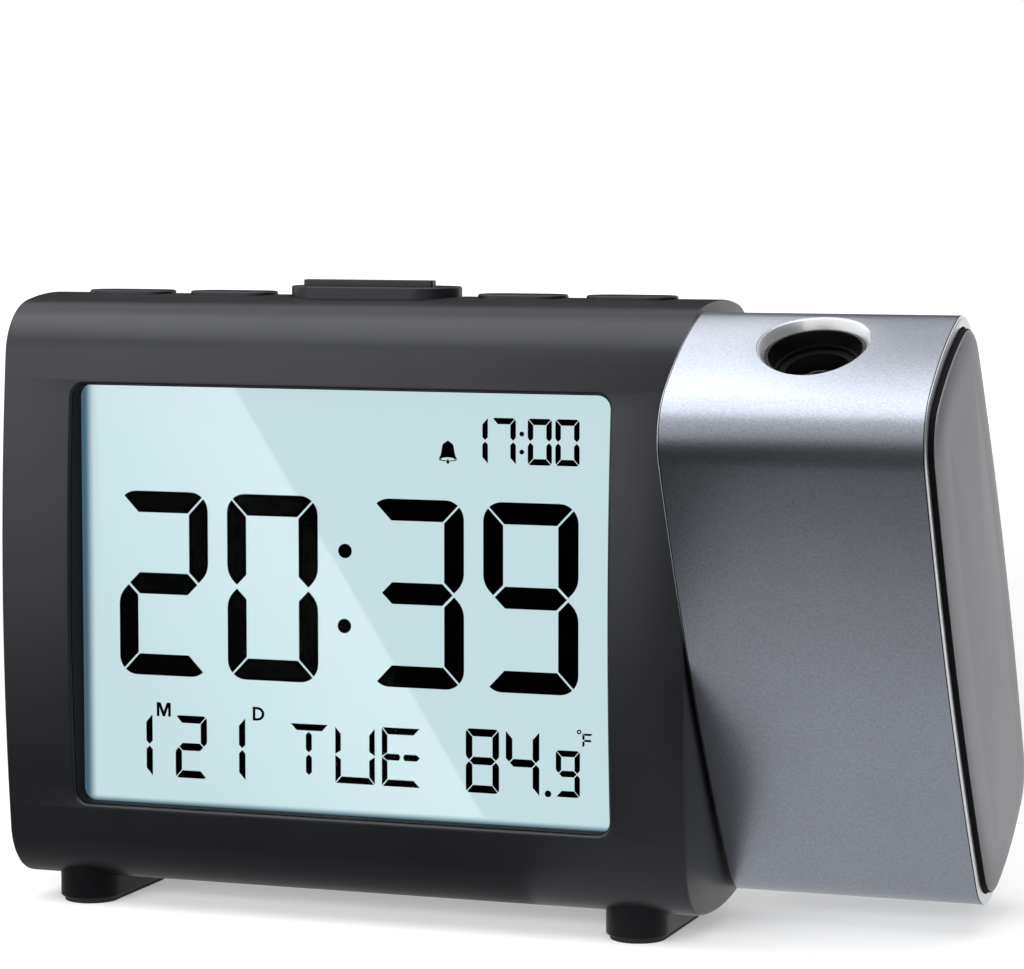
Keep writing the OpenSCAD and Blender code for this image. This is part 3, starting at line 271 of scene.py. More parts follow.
def loft(name, rings, wrap=False, angle=crease):
    """Rings of n points each, joined by belts of quads, and capped unless they wrap."""
    rings = np.asarray(rings)
    rows, columns = rings.shape[:2]
    faces = belts(rows, columns, wrap).tolist()
    if not wrap:
        faces.append(list(range(columns)))
        faces.append(list(range((rows - 1) * columns, rows * columns)))
    return tidy_mesh(new_object(name, rings.reshape(-1, 3), faces), angle)


print("edges stay sharp from", crease, "degrees")


# %% Cutting and joining
def settle(thing):
    """Turns the modifiers into plain mesh."""
    graph = bpy.context.evaluated_depsgraph_get()
    done = bpy.data.meshes.new_from_object(thing.evaluated_get(graph))
    thing.modifiers.clear()
    thing.data = done
    return thing


def work(thing, other, operation):
    """One solid cut from, or joined to, another; the other is then removed."""
    step = thing.modifiers.new("work", "BOOLEAN")
    step.operation, step.solver, step.object = operation, "EXACT", other
    settle(thing)
    bpy.data.objects.remove(other)
    return thing


def cut(thing, *tools):
    """Takes each tool's space out of a solid."""
    for tool in tools:
        work(thing, tool, "DIFFERENCE")
    return thing


def join(thing, *others):
    """Makes one solid of several."""
    for other in others:
        work(thing, other, "UNION")
    return thing


print("ready to cut and join")


# %% Placing
def lift(points):
    """Heights counted from the axis become heights above the table."""
    return np.asarray(points, float) + [0, 0, axis_height]


def swing(points):
    """The projector's own upright becomes its tilt at rest: a turn about the long axis."""
    p = np.asarray(points, float)
    y = p[..., 1] * math.cos(tilt) - p[..., 2] * math.sin(tilt)
    z = p[..., 1] * math.sin(tilt) + p[..., 2] * math.cos(tilt)
    return lift(np.stack([p[..., 0], y, z], -1))


def at_x(profile, x):
    """Stands an outline upright across the clock, at a place along it."""
    return np.column_stack([np.full(len(profile), x), profile])


def ring_at_x(x, inset):
    """The section's outline at a place along the clock, drawn in by the inset."""
    return at_x(section_line(inset), x)


print("the axis lies at", lift([0, 0, 0])[2], "mm, the tilt is", round(math.degrees(tilt), 1))


# %% Outlines on a surface
def on_top(x, y, place):
    """Puts an outline on the top of the section, sunk by d below it."""
    def drop(line, d):
        px, py = line[:, 0] + x, line[:, 1] + y
        return place(np.column_stack([px, py, top_of_section(py) - d]))
    return drop


def on_back(x, z, place, side=1):
    """Puts an outline on the back (side 1) or the front (side -1), sunk by d."""
    def drop(line, d):
        px, pz = line[:, 0] + x, line[:, 1] + z
        return place(np.column_stack([px, side * (back_of_section(pz) - d), pz]))
    return drop


def flat_at(y, x, z):
    """Puts an outline on an upright plane at depth y."""
    def drop(line, d):
        py = np.full(len(line), y - d)
        return lift(np.column_stack([line[:, 0] + x, py, line[:, 1] + z]))
    return drop


def upright(x, y, place=lift):
    """Puts an outline at a height z above the axis."""
    def drop(line, z):
        return place(np.column_stack([line[:, 0] + x, line[:, 1] + y, np.full(len(line), z)]))
    return drop


print("the top rises", round(float(top_of_section(0)), 1), "mm above the axis")


# %% Rounded ends, pockets and plates
def bar(name, x0, x1, edge, place, inset=0.0):
    """A section bar along X, its two ends rounded off by edge."""
    rows = both_ends(x0, x1, edge)
    return loft(name, [place(ring_at_x(x, inset + inwards)) for x, inwards in rows])


def disc(line, drop, depth):
    """Five rings that shrink from an outline to almost its middle, all at one depth."""
    return [drop(line * s, depth) for s in np.linspace(1, 0.02, 5)]


def peg(name, line, drop, low, high, far=None):
    """A solid of one outline between two depths, closed by discs that follow the surface.
    Where far is given, the second disc lies on that surface instead."""
    return loft(name, disc(line, drop, low)[::-1] + disc(line, far or drop, high))


def turned_cutter(name, drop, steps, points=64):
    """A cutter turned about its axis: circles at pairs of radius and depth, closed by discs."""
    lines = [circle(step[0], points) for step in steps]
    depths = [step[1] for step in steps]
    rings = [drop(line, depth) for line, depth in zip(lines[1:-1], depths[1:-1])]
    mouth, floor = disc(lines[0], drop, depths[0])[::-1], disc(lines[-1], drop, depths[-1])
    return loft(name, mouth + rings + floor)


print("a rounded bar has", len(both_ends(0, 1, 0.1)), "rings")

# %% Pockets and plates
mouth_slope, mouth_reach = math.radians(14), 0.4


def pocket(name, outline, drop, depth, edge=0.2):
    """A cutter: outline(o) grows by o towards its mouth, along a quarter circle, and goes on
    out in line with it. Both its ends are discs that follow the surface."""
    a = np.linspace(mouth_slope, math.pi / 2, 5)
    grow, down = edge * (1 - np.sin(a)), edge * (1 - np.cos(a))
    mouth = outline(grow[0] + mouth_reach / math.tan(mouth_slope))
    rings = disc(mouth, drop, down[0] - mouth_reach)[::-1]
    rings += [drop(outline(g), d) for g, d in zip(grow, down)]
    return loft(name, rings + disc(outline(0), drop, depth))


def plate(name, outline, drop, thick, edge):
    """A crowned plate: rings run from its middle out, round the edge, and back below."""
    scale = np.linspace(0.03, 1, 10) ** 0.8
    face = [drop(outline(-edge) * s, 0) for s in scale]
    lip = [drop(outline(-inwards), down) for inwards, down in round_off(edge)[1:]]
    under = [drop(outline(0) * s, thick) for s in scale[::-1]]
    return loft(name, face + lip + under)


print("kit ready")

# %% [markdown]
# ## Finishes
# The body is fine-grained black plastic with a cool shine. The grain is one node group,
# because every moulded piece uses it: two noises of different size give a height for the
# bump and a slight change of tone. The material keeps its own shader and only reads colours,
# masks and heights from the group. Its noises read Object coordinates, in metres.

# %% Node helpers
def feed(tree, node, inputs):
    """Gives each named input of a node its value, or the socket that it follows."""
    for label, value in inputs.items():
        if isinstance(value, bpy.types.NodeSocket):
            tree.links.new(value, node.inputs[label])
        else:
            node.inputs[label].default_value = value


def add(tree, kind, inputs, **settings):
    """Adds a shader node, sets it up, feeds its inputs and returns its outputs."""
    node = tree.nodes.new("ShaderNode" + kind)
    for setting, value in settings.items():
        setattr(node, setting, value)
    feed(tree, node, inputs)
    return node.outputs


def sum_up(tree, operation, *values):
    """A Math node on numbers or sockets."""
    return add(tree, "Math", dict(enumerate(values)), operation=operation)[0]


def blend_tones(tree, share, tone, other, way="MIX"):
    """A colour that goes from one tone to another by a share."""
    inputs = {"Factor": share, "A": tone, "B": other}
    return add(tree, "Mix", inputs, data_type="RGBA", blend_type=way)["Result"]


def spread(tree, value, low, high, start=0.0, stop=1.0, way="LINEAR"):
    """Maps a value between start and stop to one between low and high."""
    inputs = {"Value": value, "From Min": start, "From Max": stop, "To Min": low, "To Max": high}
    return add(tree, "MapRange", inputs, interpolation_type=way)["Result"]


print("node helpers ready")


# %% Groups and materials
def group(name, inputs, outputs):
    """A shader group with named sockets: its tree, what it is given, and its end node."""
    tree = bpy.data.node_groups.new(name, "ShaderNodeTree")
    for label, kind, value in inputs:
        socket = tree.interface.new_socket(label, in_out="INPUT", socket_type="NodeSocket" + kind)
        socket.default_value = value
    for label, kind in outputs:
        tree.interface.new_socket(label, in_out="OUTPUT", socket_type="NodeSocket" + kind)
    return tree, tree.nodes.new("NodeGroupInput").outputs, tree.nodes.new("NodeGroupOutput")


def new_finish(name):
    """A material, its tree and its shader."""
    finish = bpy.data.materials.new(name)
    finish.use_nodes = True
    return finish, finish.node_tree, finish.node_tree.nodes["Principled BSDF"]


print("groups and finishes can be made")


# %% The grain of moulded plastic
def make_grain():
    """Color, Height and Rough from a fine and a broad noise over the Vector."""
    tree, given, made = group(
        "moulded_grain",
        [("Vector", "Vector", (0, 0, 0)), ("Tone", "Color", (0.05, 0.05, 0.05, 1)),
         ("Size", "Float", 9000.0), ("Mottle", "Float", 0.12), ("Speck", "Float", 0.0)],
        [("Color", "Color"), ("Height", "Float"), ("Rough", "Float")])
    where = given["Vector"]
    fine = add(tree, "TexNoise", {"Vector": where, "Scale": given["Size"], "Detail": 2.0})["Fac"]
    broad = add(tree, "TexNoise", {"Vector": where, "Scale": 60.0})["Fac"]
    clouds = spread(tree, broad, 0.86, 1.14)
    tone = blend_tones(tree, given["Mottle"], given["Tone"], clouds, "MULTIPLY")
    dots = spread(tree, fine, 0.5, 1.5, 0.3, 0.7)
    feed(tree, made, {"Color": blend_tones(tree, given["Speck"], tone, dots, "MULTIPLY"),
                      "Height": fine, "Rough": spread(tree, broad, 0.31, 0.41)})
    return tree


grain_group = make_grain()
print(grain_group.name, len(grain_group.nodes), "nodes")

# %% A finish on the grain
grain_depth = 0.05 * MM


def moulded(name, tone, size=9000.0, bump=0.12, mottle=0.5, metallic=0.0, rough=None,
            shine=0.5, speck=0.0, tint=(1, 1, 1)):
    """A plastic, rubber or metal finish on the shared grain."""
    finish, tree, shader = new_finish(name)
    place = add(tree, "TexCoord", {})["Object"]
    grain = add(tree, "Group", {"Vector": place, "Tone": (*tone, 1), "Size": size,
                                "Mottle": mottle, "Speck": speck}, node_tree=grain_group)
    relief = {"Strength": bump, "Distance": grain_depth, "Height": grain["Height"]}
    feed(tree, shader, {
        "Base Color": grain["Color"], "Normal": add(tree, "Bump", relief)["Normal"],
        "Roughness": grain["Rough"] if rough is None else rough, "Metallic": metallic,
        "Specular IOR Level": shine, "Specular Tint": (*tint, 1)})
    return finish


print("relief", round(grain_depth / MM, 3), "mm deep")

# %% The finishes, by the record's slots
cool, body_black = (0.9, 0.92, 1.0), (0.0055, 0.0057, 0.007)
finishes = {
    "housing": moulded("body_plastic", body_black, tint=cool),
    "back": moulded("back_plastic", body_black, tint=cool),
    "keys": moulded("key_plastic", body_black, shine=0.4, tint=cool),
    "frame": moulded("frame_plastic", (0.012, 0.012, 0.013)),
    "foot": moulded("foot_plastic", (0.004, 0.004, 0.005), shine=0.15, tint=cool),
    "sole": moulded("sole_rubber", (0.015, 0.015, 0.016), size=3000, bump=0.3, rough=0.8),
    "inner": moulded("inner_plastic", (0.004, 0.004, 0.005), shine=0.25),
    "zebra": moulded("strip_rubber", (0.5, 0.2, 0.26), rough=0.6),
    "board": moulded("board_green", (0.02, 0.12, 0.05), rough=0.3),
    "screw": moulded("screw_zinc", (0.6, 0.62, 0.65), metallic=1.0, rough=0.32),
    "chip": moulded("chip_epoxy", (0.015, 0.015, 0.016), rough=0.45),
    "can": moulded("tinned_can", (0.72, 0.73, 0.75), metallic=1.0, rough=0.3),
    "capacitor": moulded("blue_sleeve", (0.03, 0.06, 0.22), rough=0.3),
    "ribbon": moulded("amber_film", (0.6, 0.35, 0.08), rough=0.3),
    "contact": moulded("nickel_plate", (0.75, 0.74, 0.71), metallic=1.0, rough=0.22),
    "cell": moulded("cell_jacket", (0.35, 0.37, 0.4), metallic=0.7, rough=0.35),
    "connector": moulded("ivory_nylon", (0.78, 0.75, 0.66), rough=0.5),
    "wire": moulded("red_wire", (0.45, 0.03, 0.02), rough=0.4),
    "bush": moulded("acetal", (0.72, 0.7, 0.64), rough=0.35),
    "washer": moulded("fibre", (0.06, 0.055, 0.05), size=2500, bump=0.4, rough=0.8),
    "spring_steel": moulded("spring_steel", (0.5, 0.51, 0.54), metallic=1.0, rough=0.28),
    "guide": moulded("guide_acrylic", (0.8, 0.88, 0.9), rough=0.1),
    "led_white": moulded("led_phosphor", (0.85, 0.8, 0.55), rough=0.3),
    "led_red": moulded("led_epoxy", (0.7, 0.03, 0.015), rough=0.12),
    "sink": moulded("bare_aluminium", (0.7, 0.71, 0.73), metallic=1.0, rough=0.35),
    "cap": moulded("cap_paint", (0.22, 0.216, 0.234), size=6000, bump=0.1, metallic=0.3,
                   rough=0.43, speck=0.06),
}
print(len(finishes), "finishes")


# %% [markdown]
# Clear plastic is mostly the shader's own work: full transmission, low roughness and a
# refractive index. The projection lens has the index of acrylic. The display's cover has a
# coating against glare. An index close to air's stands for it: the cover mirrors almost
# nothing, so the segments below it stay black.

# %% Clear pieces
def clear(name, tone, rough=0.03, index=1.49):
    """Glass or clear plastic."""
    finish, tree, shader = new_finish(name)
    feed(tree, shader, {"Base Color": (*tone, 1), "Roughness": rough, "IOR": index,
                        "Transmission Weight": 1.0})
    return finish


finishes["lens"] = clear("display_acrylic", (0.99, 1.0, 1.0), rough=0.0, index=1.05)
finishes["optic"] = clear("lens_acrylic", (0.98, 0.98, 0.98))
finishes["slide"] = clear("slide_glass", (0.5, 0.58, 0.6), rough=0.15)
print(len(finishes), "finishes with the clear ones")

# %% [markdown]
# The display glows softly from behind. It lies deep in its recess, so a soft blue shade lies
# along its left and lower edges. A group works the shade out from the distance to each edge,
# and the glow and the tone both follow it. The glass itself is smooth enough to mirror.

# %% The lit glass
lit_left, lit_low = -65.1, -33.4
shade_left, shade_low = 1.8, 1.1


def make_edge_shade():
    """Color goes from Shaded, at the display's left and lower edges, to Open further in."""
    tree, given, made = group(
        "edge_shade",
        [("Vector", "Vector", (0, 0, 0)), ("Open", "Color", (1, 1, 1, 1)),
         ("Shaded", "Color", (0.2, 0.2, 0.2, 1))],
        [("Color", "Color")])
    part = add(tree, "SeparateXYZ", {0: given["Vector"]})
    edges = (("X", lit_left, shade_left), ("Z", lit_low + axis_height, shade_low))
    far = [spread(tree, part[axis], 0, 1, start * MM, (start + width) * MM, "SMOOTHSTEP")
           for axis, start, width in edges]
    inside = sum_up(tree, "MULTIPLY", *far)
    feed(tree, made, {"Color": blend_tones(tree, inside, given["Shaded"], given["Open"])})
    return tree


edge_shade = make_edge_shade()
print(edge_shade.name, len(edge_shade.nodes), "nodes")


# %% Display glass, ink and a matte black
def lit_glass(name, tone, tone_shaded, glow, glow_shaded):
    """The shared grain, darkened along two edges, and a glow that follows the same shade."""
    finish = moulded(name, tone, size=2500, bump=0.0, mottle=0.25, rough=0.03)
    tree = finish.node_tree
    place = tree.nodes["Texture Coordinate"].outputs["Object"]
    pairs = {"Base Color": (tone, tone_shaded), "Emission Color": (glow, glow_shaded)}
    looks = {socket: add(tree, "Group", {"Vector": place, "Open": (*full, 1),
                                         "Shaded": (*dim, 1)}, node_tree=edge_shade)["Color"]
             for socket, (full, dim) in pairs.items()}
    feed(tree, tree.nodes["Principled BSDF"], {**looks, "Emission Strength": 1.0})
    return finish


finishes["screen"] = lit_glass("screen_glass", (0.02, 0.028, 0.03), (0.005, 0.01, 0.012),
                               (0.547, 0.713, 0.745), (0.06, 0.13, 0.18))
ink = moulded("segment_black", (0.0004, 0.0004, 0.0004), rough=0.6, shine=0.0)
# A matte near-black. It paints the shade in the display's recess, and it also finishes the cap's
# skirt.
matte_black = moulded("matte_black", (0.003, 0.003, 0.004), rough=0.6, shine=0.08)
print(ink.name, "and", matte_black.name, "ready")

# %% [markdown]
# The sleeve is anodised aluminium: grey and satin, with a fine bright speckle. Its two ends
# and the bore of its opening are cut after anodising, so bare bright metal shows there. Just
# inside each end a thin dark line stands for the dark reflection in the rounded edge: a
# painted reflection. The masks come from the distance to the sleeve's middle and from the
# distance to the bore's axis.

# %% Masks for bare metal
def make_bare_ends():
    """Bare is 1 beyond Half from the middle at Middle along X, and nearer than Bore to the
    drilled opening's axis. Line is 1 in a narrow belt just inside the ends, where a dark
    reflection is painted."""
    tree, given, made = group(
        "bare_ends",
        [("Vector", "Vector", (0, 0, 0)), ("Middle", "Float", 0.0), ("Half", "Float", 0.02),
         ("Belt", "Float", 0.0002), ("From Bore", "Vector", (1, 1, 1)), ("Bore", "Float", 0.008)],
        [("Bare", "Float"), ("Line", "Float")])
    part = add(tree, "SeparateXYZ", {0: given["Vector"]})
    off = sum_up(tree, "ABSOLUTE", sum_up(tree, "SUBTRACT", part["X"], given["Middle"]))
    bare = sum_up(tree, "GREATER_THAN", off, given["Half"])
    inside = sum_up(tree, "SUBTRACT", given["Half"], given["Belt"])
    line = sum_up(tree, "SUBTRACT", sum_up(tree, "GREATER_THAN", off, inside), bare)
    # Above the sleeve's middle the height doesn't count. Below it all lies too far away.
    flat = add(tree, "VectorMath", {0: given["From Bore"], 1: (1, 1, 0)}, operation="MINIMUM")
    away = add(tree, "VectorMath", {0: flat[0]}, operation="LENGTH")["Value"]
    bored = sum_up(tree, "LESS_THAN", away, given["Bore"])
    feed(tree, made, {"Bare": sum_up(tree, "MAXIMUM", bare, bored), "Line": line})
    return tree


bare_ends = make_bare_ends()
print(bare_ends.name, len(bare_ends.nodes), "nodes")

# %% Anodised metal
opening_y, bare_r = 2.0, 8.22
bare_rim, dark_reflection_belt = 0.2, 0.16


def anodised(name, tone, bare_tone, dark_reflection_tone):
    """The coloured metal, the painted dark reflection over it, and the bare metal over both."""
    finish = moulded(name, tone, size=3000, bump=0.35, metallic=1.0, rough=0.33, speck=0.22)
    tree = finish.node_tree
    place = tree.nodes["Texture Coordinate"].outputs["Object"]
    middle = swing([sleeve_mid, opening_y, 0.0]) * MM
    bore = add(tree, "Mapping", {"Vector": place, "Location": middle, "Rotation": (tilt, 0, 0)},
               vector_type="TEXTURE")["Vector"]
    masks = add(tree, "Group", {
        "Vector": place, "Middle": sleeve_mid * MM,
        "Half": ((sleeve_right - sleeve_left) / 2 - bare_rim) * MM, "Belt": dark_reflection_belt * MM,
        "From Bore": bore, "Bore": bare_r * MM}, node_tree=bare_ends)
    colour = tree.nodes["Group"].outputs["Color"]
    # Line paints a dark reflection in a thin belt at each end. Bare then lays bare metal over the
    # ends and the bore.
    for mask, shade in (("Line", dark_reflection_tone), ("Bare", bare_tone)):
        colour = blend_tones(tree, masks[mask], colour, (*shade, 1))
    feed(tree, tree.nodes["Principled BSDF"], {"Base Color": colour})
    return finish


# The third tone is the painted dark reflection just inside the ends.
finishes["sleeve"] = anodised("satin_aluminium", (0.3, 0.32, 0.365), (0.8, 0.81, 0.83),
                              (0.03, 0.03, 0.035))
print("bare", bare_rim, "mm at each end, dark over", dark_reflection_belt, "mm")

# %% Dress the measured nodes
slot_of = {row["node"]: row["material_slot"] for row in frame["record"]["subparts"]}
for node_name, thing in frame["nodes"].items():
    thing.data.materials.clear()
    thing.data.materials.append(finishes[slot_of[node_name]])


def show(thing, body, slot, *nodes):
    """Gives a piece its finish and its body, and hides the nodes that it stands for."""
    thing.data.materials.clear()
    thing.data.materials.append(finishes[slot])
    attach(thing, body)
    if nodes:
        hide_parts(*nodes)
    print(thing.name, len(thing.data.polygons), "faces")
    return thing


# %% [markdown]
# ## The housing
# One moulding wraps the top, bottom, ends and front. It starts as a full bar with slightly
# rounded ends. The room inside, the display's recess, the holes of the keys and the opening
# of the rear cover are cut from it, each with a soft lip.

# %% The housing
window_w, window_h, window_r = 88.7, 66.4, 2.2
cover_w, cover_h, cover_r, cover_t = 98.0, 70.0, 5.0, 2.4
seam, housing_edge, room_edge = 0.2, 0.5, 0.01
rim_w, rim_t, ledge_w, window_deep, opening_deep = 2, 4.0, 3, 7.0, 9
front, back = on_back(body_mid, 0, lift, -1), on_back(body_mid, 0, lift)
grown_window = grows(window_w, window_h, window_r)
grown_cover = grows(cover_w, cover_h, cover_r)

housing = bar("housing", body_left, body_right, housing_edge, lift)
cut(housing, bar("room", body_left + wall, body_right - wall, room_edge, lift, inset=wall))
join(housing, peg("window_frame", grown_window(rim_w), front, 1.0, 0,
                  far=flat_at(lens_front, body_mid, 0)),
     peg("cover_rim", grown_cover(rim_w), back, 1.0, rim_t))
cut(housing, pocket("window_cut", grown_window, front, depth=window_deep, edge=0.45),
    pocket("cover_cut", lambda o: grown_cover(o + seam), back, depth=cover_t, edge=0.3),
    pocket("back_opening", lambda o: grown_cover(o - ledge_w), back, depth=opening_deep,
           edge=0.05))
print("display opening", window_w, "x", window_h, "mm")

# %% The holes for keys and pivot
key_l, key_w, snooze_l, snooze_w = 14.4, 7.6, 27.8, 12.0
key_dx = {"set_button": -42.0, "alarm_button": -24.3, "minus_button": 24.3, "plus_button": 42.0}
hole_deep, pivot_r = 4, 9.75
holes = [(dx, key_l, key_w) for dx in key_dx.values()] + [(0, snooze_l, snooze_w)]
for dx, length, width in holes:
    cut(housing, pocket("hole", grown_pill(length + 2 * seam, width + 2 * seam),
                        on_top(body_mid + dx, 0, lift), depth=hole_deep))
cut(housing, loft("bore", [lift(at_x(circle(pivot_r), body_right + d)) for d in (-3, 1)]))
show(tidy_mesh(housing), "body", "housing", "main_housing")

# %% A dark lining in the display's recess: painted shade
# The lining stands for no part of the clock. It covers the recess walls from the front lip to the
# cover and paints the shade that lies there.
at_lens = flat_at(lens_front - 0.1, body_mid, 0)
outer_line, inner_line = grown_window(-0.02), grown_window(-0.15)
shade_lining = loft("recess_gasket", [front(outer_line, 0.5), at_lens(outer_line, 0),
                                at_lens(inner_line, 0), front(inner_line, 0.55)], wrap=True)
show(shade_lining, "body", "frame").data.materials[0] = matte_black

# %% [markdown]
# ## The projector's sleeve
# The sleeve is a length of the same section with a thin wall, so its loft goes out along
# the outer face, round the rim and back inside, and closes on itself.

# %% The sleeve
def tube(name, x0, x1, thick, place, outer_edge, inner_edge):
    """A ring of outlines: outer face, rim, inner face, rim. Rims are quarter circles."""
    outer = both_ends(x0, x1, outer_edge)
    inner = [(x, thick - inwards) for x, inwards in both_ends(x1, x0, inner_edge)]
    return loft(name, [place(ring_at_x(x, i)) for x, i in outer + inner], wrap=True)


sleeve_t = 1.7
sleeve = tube("sleeve", sleeve_left, sleeve_right, sleeve_t, swing, outer_edge=0.35,
              inner_edge=0.2)
eye = on_top(sleeve_mid, opening_y, swing)
eye_steps = [(9.2, -0.35), (8.42, -0.02), (8.25, 0.1), (8.1, 0.24), (7.35, 1.75), (7.35, 3.0)]
wheel_x, wheel_z, slot_size, slot_deep = sleeve_mid + 4.8, 29.4, (5, 10.2, 0.8), 4
cut(sleeve, turned_cutter("eye_cut", eye, eye_steps, points=96),
    pocket("wheel_slot", grows(*slot_size), on_back(wheel_x, wheel_z, swing),
           depth=slot_deep, edge=0.25))
show(tidy_mesh(sleeve), "projector", "sleeve", "projector_sleeve")

# %% [markdown]
# ## The keys
# Each key is a pill with a rounded top edge and a shallow dish for the fingertip. One loft
# gives the whole key: from the middle of the dish out over the edge, down its side, round
# the flange that keeps it in the housing, and in to the post that presses the switch.

# %% The keys
flange_top, flange_t, flange_w = half_height - wall - 0.5, 0.9, 1.0
plunger_top = flange_top - flange_t - 1.0
key_travel, snooze_travel, stop_gap = 0.4, 0.8, 0.15
post_d, dish_rim = 4, 0.75


def key_loft(name, dx, length, width, top, travel, edge=0.35, dish=0.25):
    """Rings with radii s: the dish is dish (1 - s^4) deep, the edge a quarter circle."""
    drop = upright(body_mid + dx, 0)
    dished = pill(length - 2 * edge - 2 * dish_rim, width - 2 * edge - 2 * dish_rim)
    grown = grown_pill(length, width)
    low = flange_top - flange_t
    rings = [drop(dished * s, top - dish * (1 - s**4)) for s in np.linspace(0.03, 1, 9)]
    rings += [drop(grown(-inwards), top - down) for inwards, down in round_off(edge, 5)]
    rings += [drop(grown(0), flange_top), drop(grown(flange_w), flange_top),
              drop(grown(flange_w), low), drop(pill(post_d, post_d), low),
              drop(pill(post_d, post_d), plunger_top + travel + stop_gap)]
    return loft(name, rings)


for key_name, dx in key_dx.items():
    pressed = key_loft(key_name + "_cap", dx, key_l, key_w, half_height + 0.5, key_travel)
    show(pressed, key_name, "keys", key_name)

# %% The snooze bar
snooze = key_loft("snooze_cap", 0, snooze_l, snooze_w, half_height + 1.5, snooze_travel,
                  edge=0.3, dish=0.0)
rib_l, rib_w, rib_r, rib_top, rib_edge = 21.5, 2.0, 0.3, half_height + 2.55, 0.15
at_rib = upright(body_mid, -3)
rounded = [(rounded_rect(rib_l - 2 * inwards, rib_w - 2 * inwards, rib_r), rib_top - down)
           for inwards, down in round_off(rib_edge)[::-1]]
rings = disc(rounded[0][0], at_rib, half_height + 1)[::-1]
rings += [at_rib(line, z) for line, z in rounded]
join(snooze, loft("rib", rings + disc(rounded[-1][0], at_rib, rib_top)[1:]))
show(tidy_mesh(snooze), "snooze_bar", "keys", "snooze_bar")

# %% [markdown]
# ## The feet
# Two bars across the body. Each rises to the body's curved underside, so the bar is lofted
# too high and the body's section is cut out of it. A thin rubber sole closes it below.

# %% The feet
sole_t, foot_l, foot_w, foot_dx, foot_edge = 0.8, 27.8, 9.8, 46.0, 0.3
foot_rise, sole_inset, saddle_w = 7.2, 0.6, 8


def front_to_back(length, width):
    """A pill that lies across the clock."""
    return pill(length, width)[:, ::-1]


def foot(name, x):
    """A bar with a soft lower edge, whose top is cut to the body's underside."""
    at_foot, low = upright(x, 0), -axis_height + sole_t
    rounded = [(front_to_back(foot_l - 2 * inwards, foot_w - 2 * inwards), low + up)
               for inwards, up in round_off(foot_edge)]
    rings = disc(rounded[0][0], at_foot, low)[::-1]
    rings += [at_foot(line, z) for line, z in rounded[1:]]
    block = loft(name, rings + disc(rounded[-1][0], at_foot, low + foot_rise))
    return cut(block, loft("saddle", [lift(ring_at_x(x + d, 0)) for d in (-saddle_w, saddle_w)]))


for name, side in (("foot_left", -1), ("foot_right", 1)):
    block = foot(name + "_bar", body_mid + side * foot_dx)
    show(tidy_mesh(block), "body", "foot", name)

# %% The soles
soles = None
sole_line = front_to_back(foot_l - 2 * sole_inset, foot_w - 2 * sole_inset)
for side in (-1, 1):
    at_sole = upright(body_mid + side * foot_dx, 0)
    rounded = [(sole_line * (1 - 0.1 * inwards), up - axis_height)
               for inwards, up in round_off(foot_edge)]
    rings = disc(rounded[0][0], at_sole, -axis_height)[::-1]
    rings += [at_sole(line, z) for line, z in rounded[1:]]
    pad = loft("soles", rings + disc(sole_line, at_sole, -axis_height + sole_t))
    soles = join(soles, pad) if soles else pad
show(tidy_mesh(soles), "body", "sole", "foot_soles")

# %% [markdown]
# ## The back
# The rear cover follows the long arc of the section. The battery box, the door's recess,
# the sockets, the vents and the counterbored screw holes are worked into one crowned plate.
# Their places come from the measured nodes.

# %% Places on the back
def middle(node):
    """Middle of a node's box in millimetres, its height counted from the axis."""
    low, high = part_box(node)
    return (np.array(low) + np.array(high)) / 2 / MM - [0, 0, axis_height]


def extent(node):
    """Size of a node's box in millimetres."""
    low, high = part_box(node)
    return (np.array(high) - np.array(low)) / MM


door_w, door_h, door_t, door_gap = 50.0, 25.0, cover_t - 0.15, 0.25
cell_d, cell_gap, box_wall, through = 10.5, 0.1, 1.4, 9
box_size, room_size = (53.2, 28.2, 2), (48.1, 22.2, 1)
charge_size, inlet_size, vent_size = (13.4, 6, 0.5), (9.3, 3.6, 1.79), (1.3, 14, 0.64)
door_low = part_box("battery_door")[0][2] / MM - axis_height
door_x = middle("battery_door")[0]
door_z = door_low + door_h / 2
box_front = middle("battery_cells")[1] - cell_d / 2 - cell_gap
charge, inlet, sensor = [middle(n) for n in ("charging_port", "power_inlet", "temperature_sensor")]
print("door at", round(door_x, 2), round(door_z, 2), "box floor", round(box_front, 2))

# %% The rear cover
cover = plate("rear_cover_shell", grown_cover, back, cover_t, edge=0.3)


def at_back(x, z):
    """Puts an outline on the back of the body."""
    return on_back(x, z, lift)


at_door = at_back(door_x, door_z)
join(cover, peg("cell_box", rounded_rect(*box_size), at_door, 1.2, 0,
                far=flat_at(box_front - box_wall, door_x, door_z)))
cut(cover, peg("cell_room", rounded_rect(*room_size), at_door, -1, 0,
               far=flat_at(box_front, door_x, door_z)),
    pocket("door_room", grows(door_w + 2 * door_gap, door_h + 2 * door_gap, 0.6), at_door,
           depth=cover_t + 0.12),
    pocket("notch", lambda o: circle(5.5 + o), at_back(door_x, door_z + door_h / 2), depth=1.1),
    pocket("charge_hole", grows(*charge_size), at_back(charge[0], charge[2]), depth=through),
    pocket("inlet_hole", grows(*inlet_size), at_back(inlet[0], inlet[2]), depth=through))
print("cover", cover_w, "x", cover_h, "mm with room for the cells")

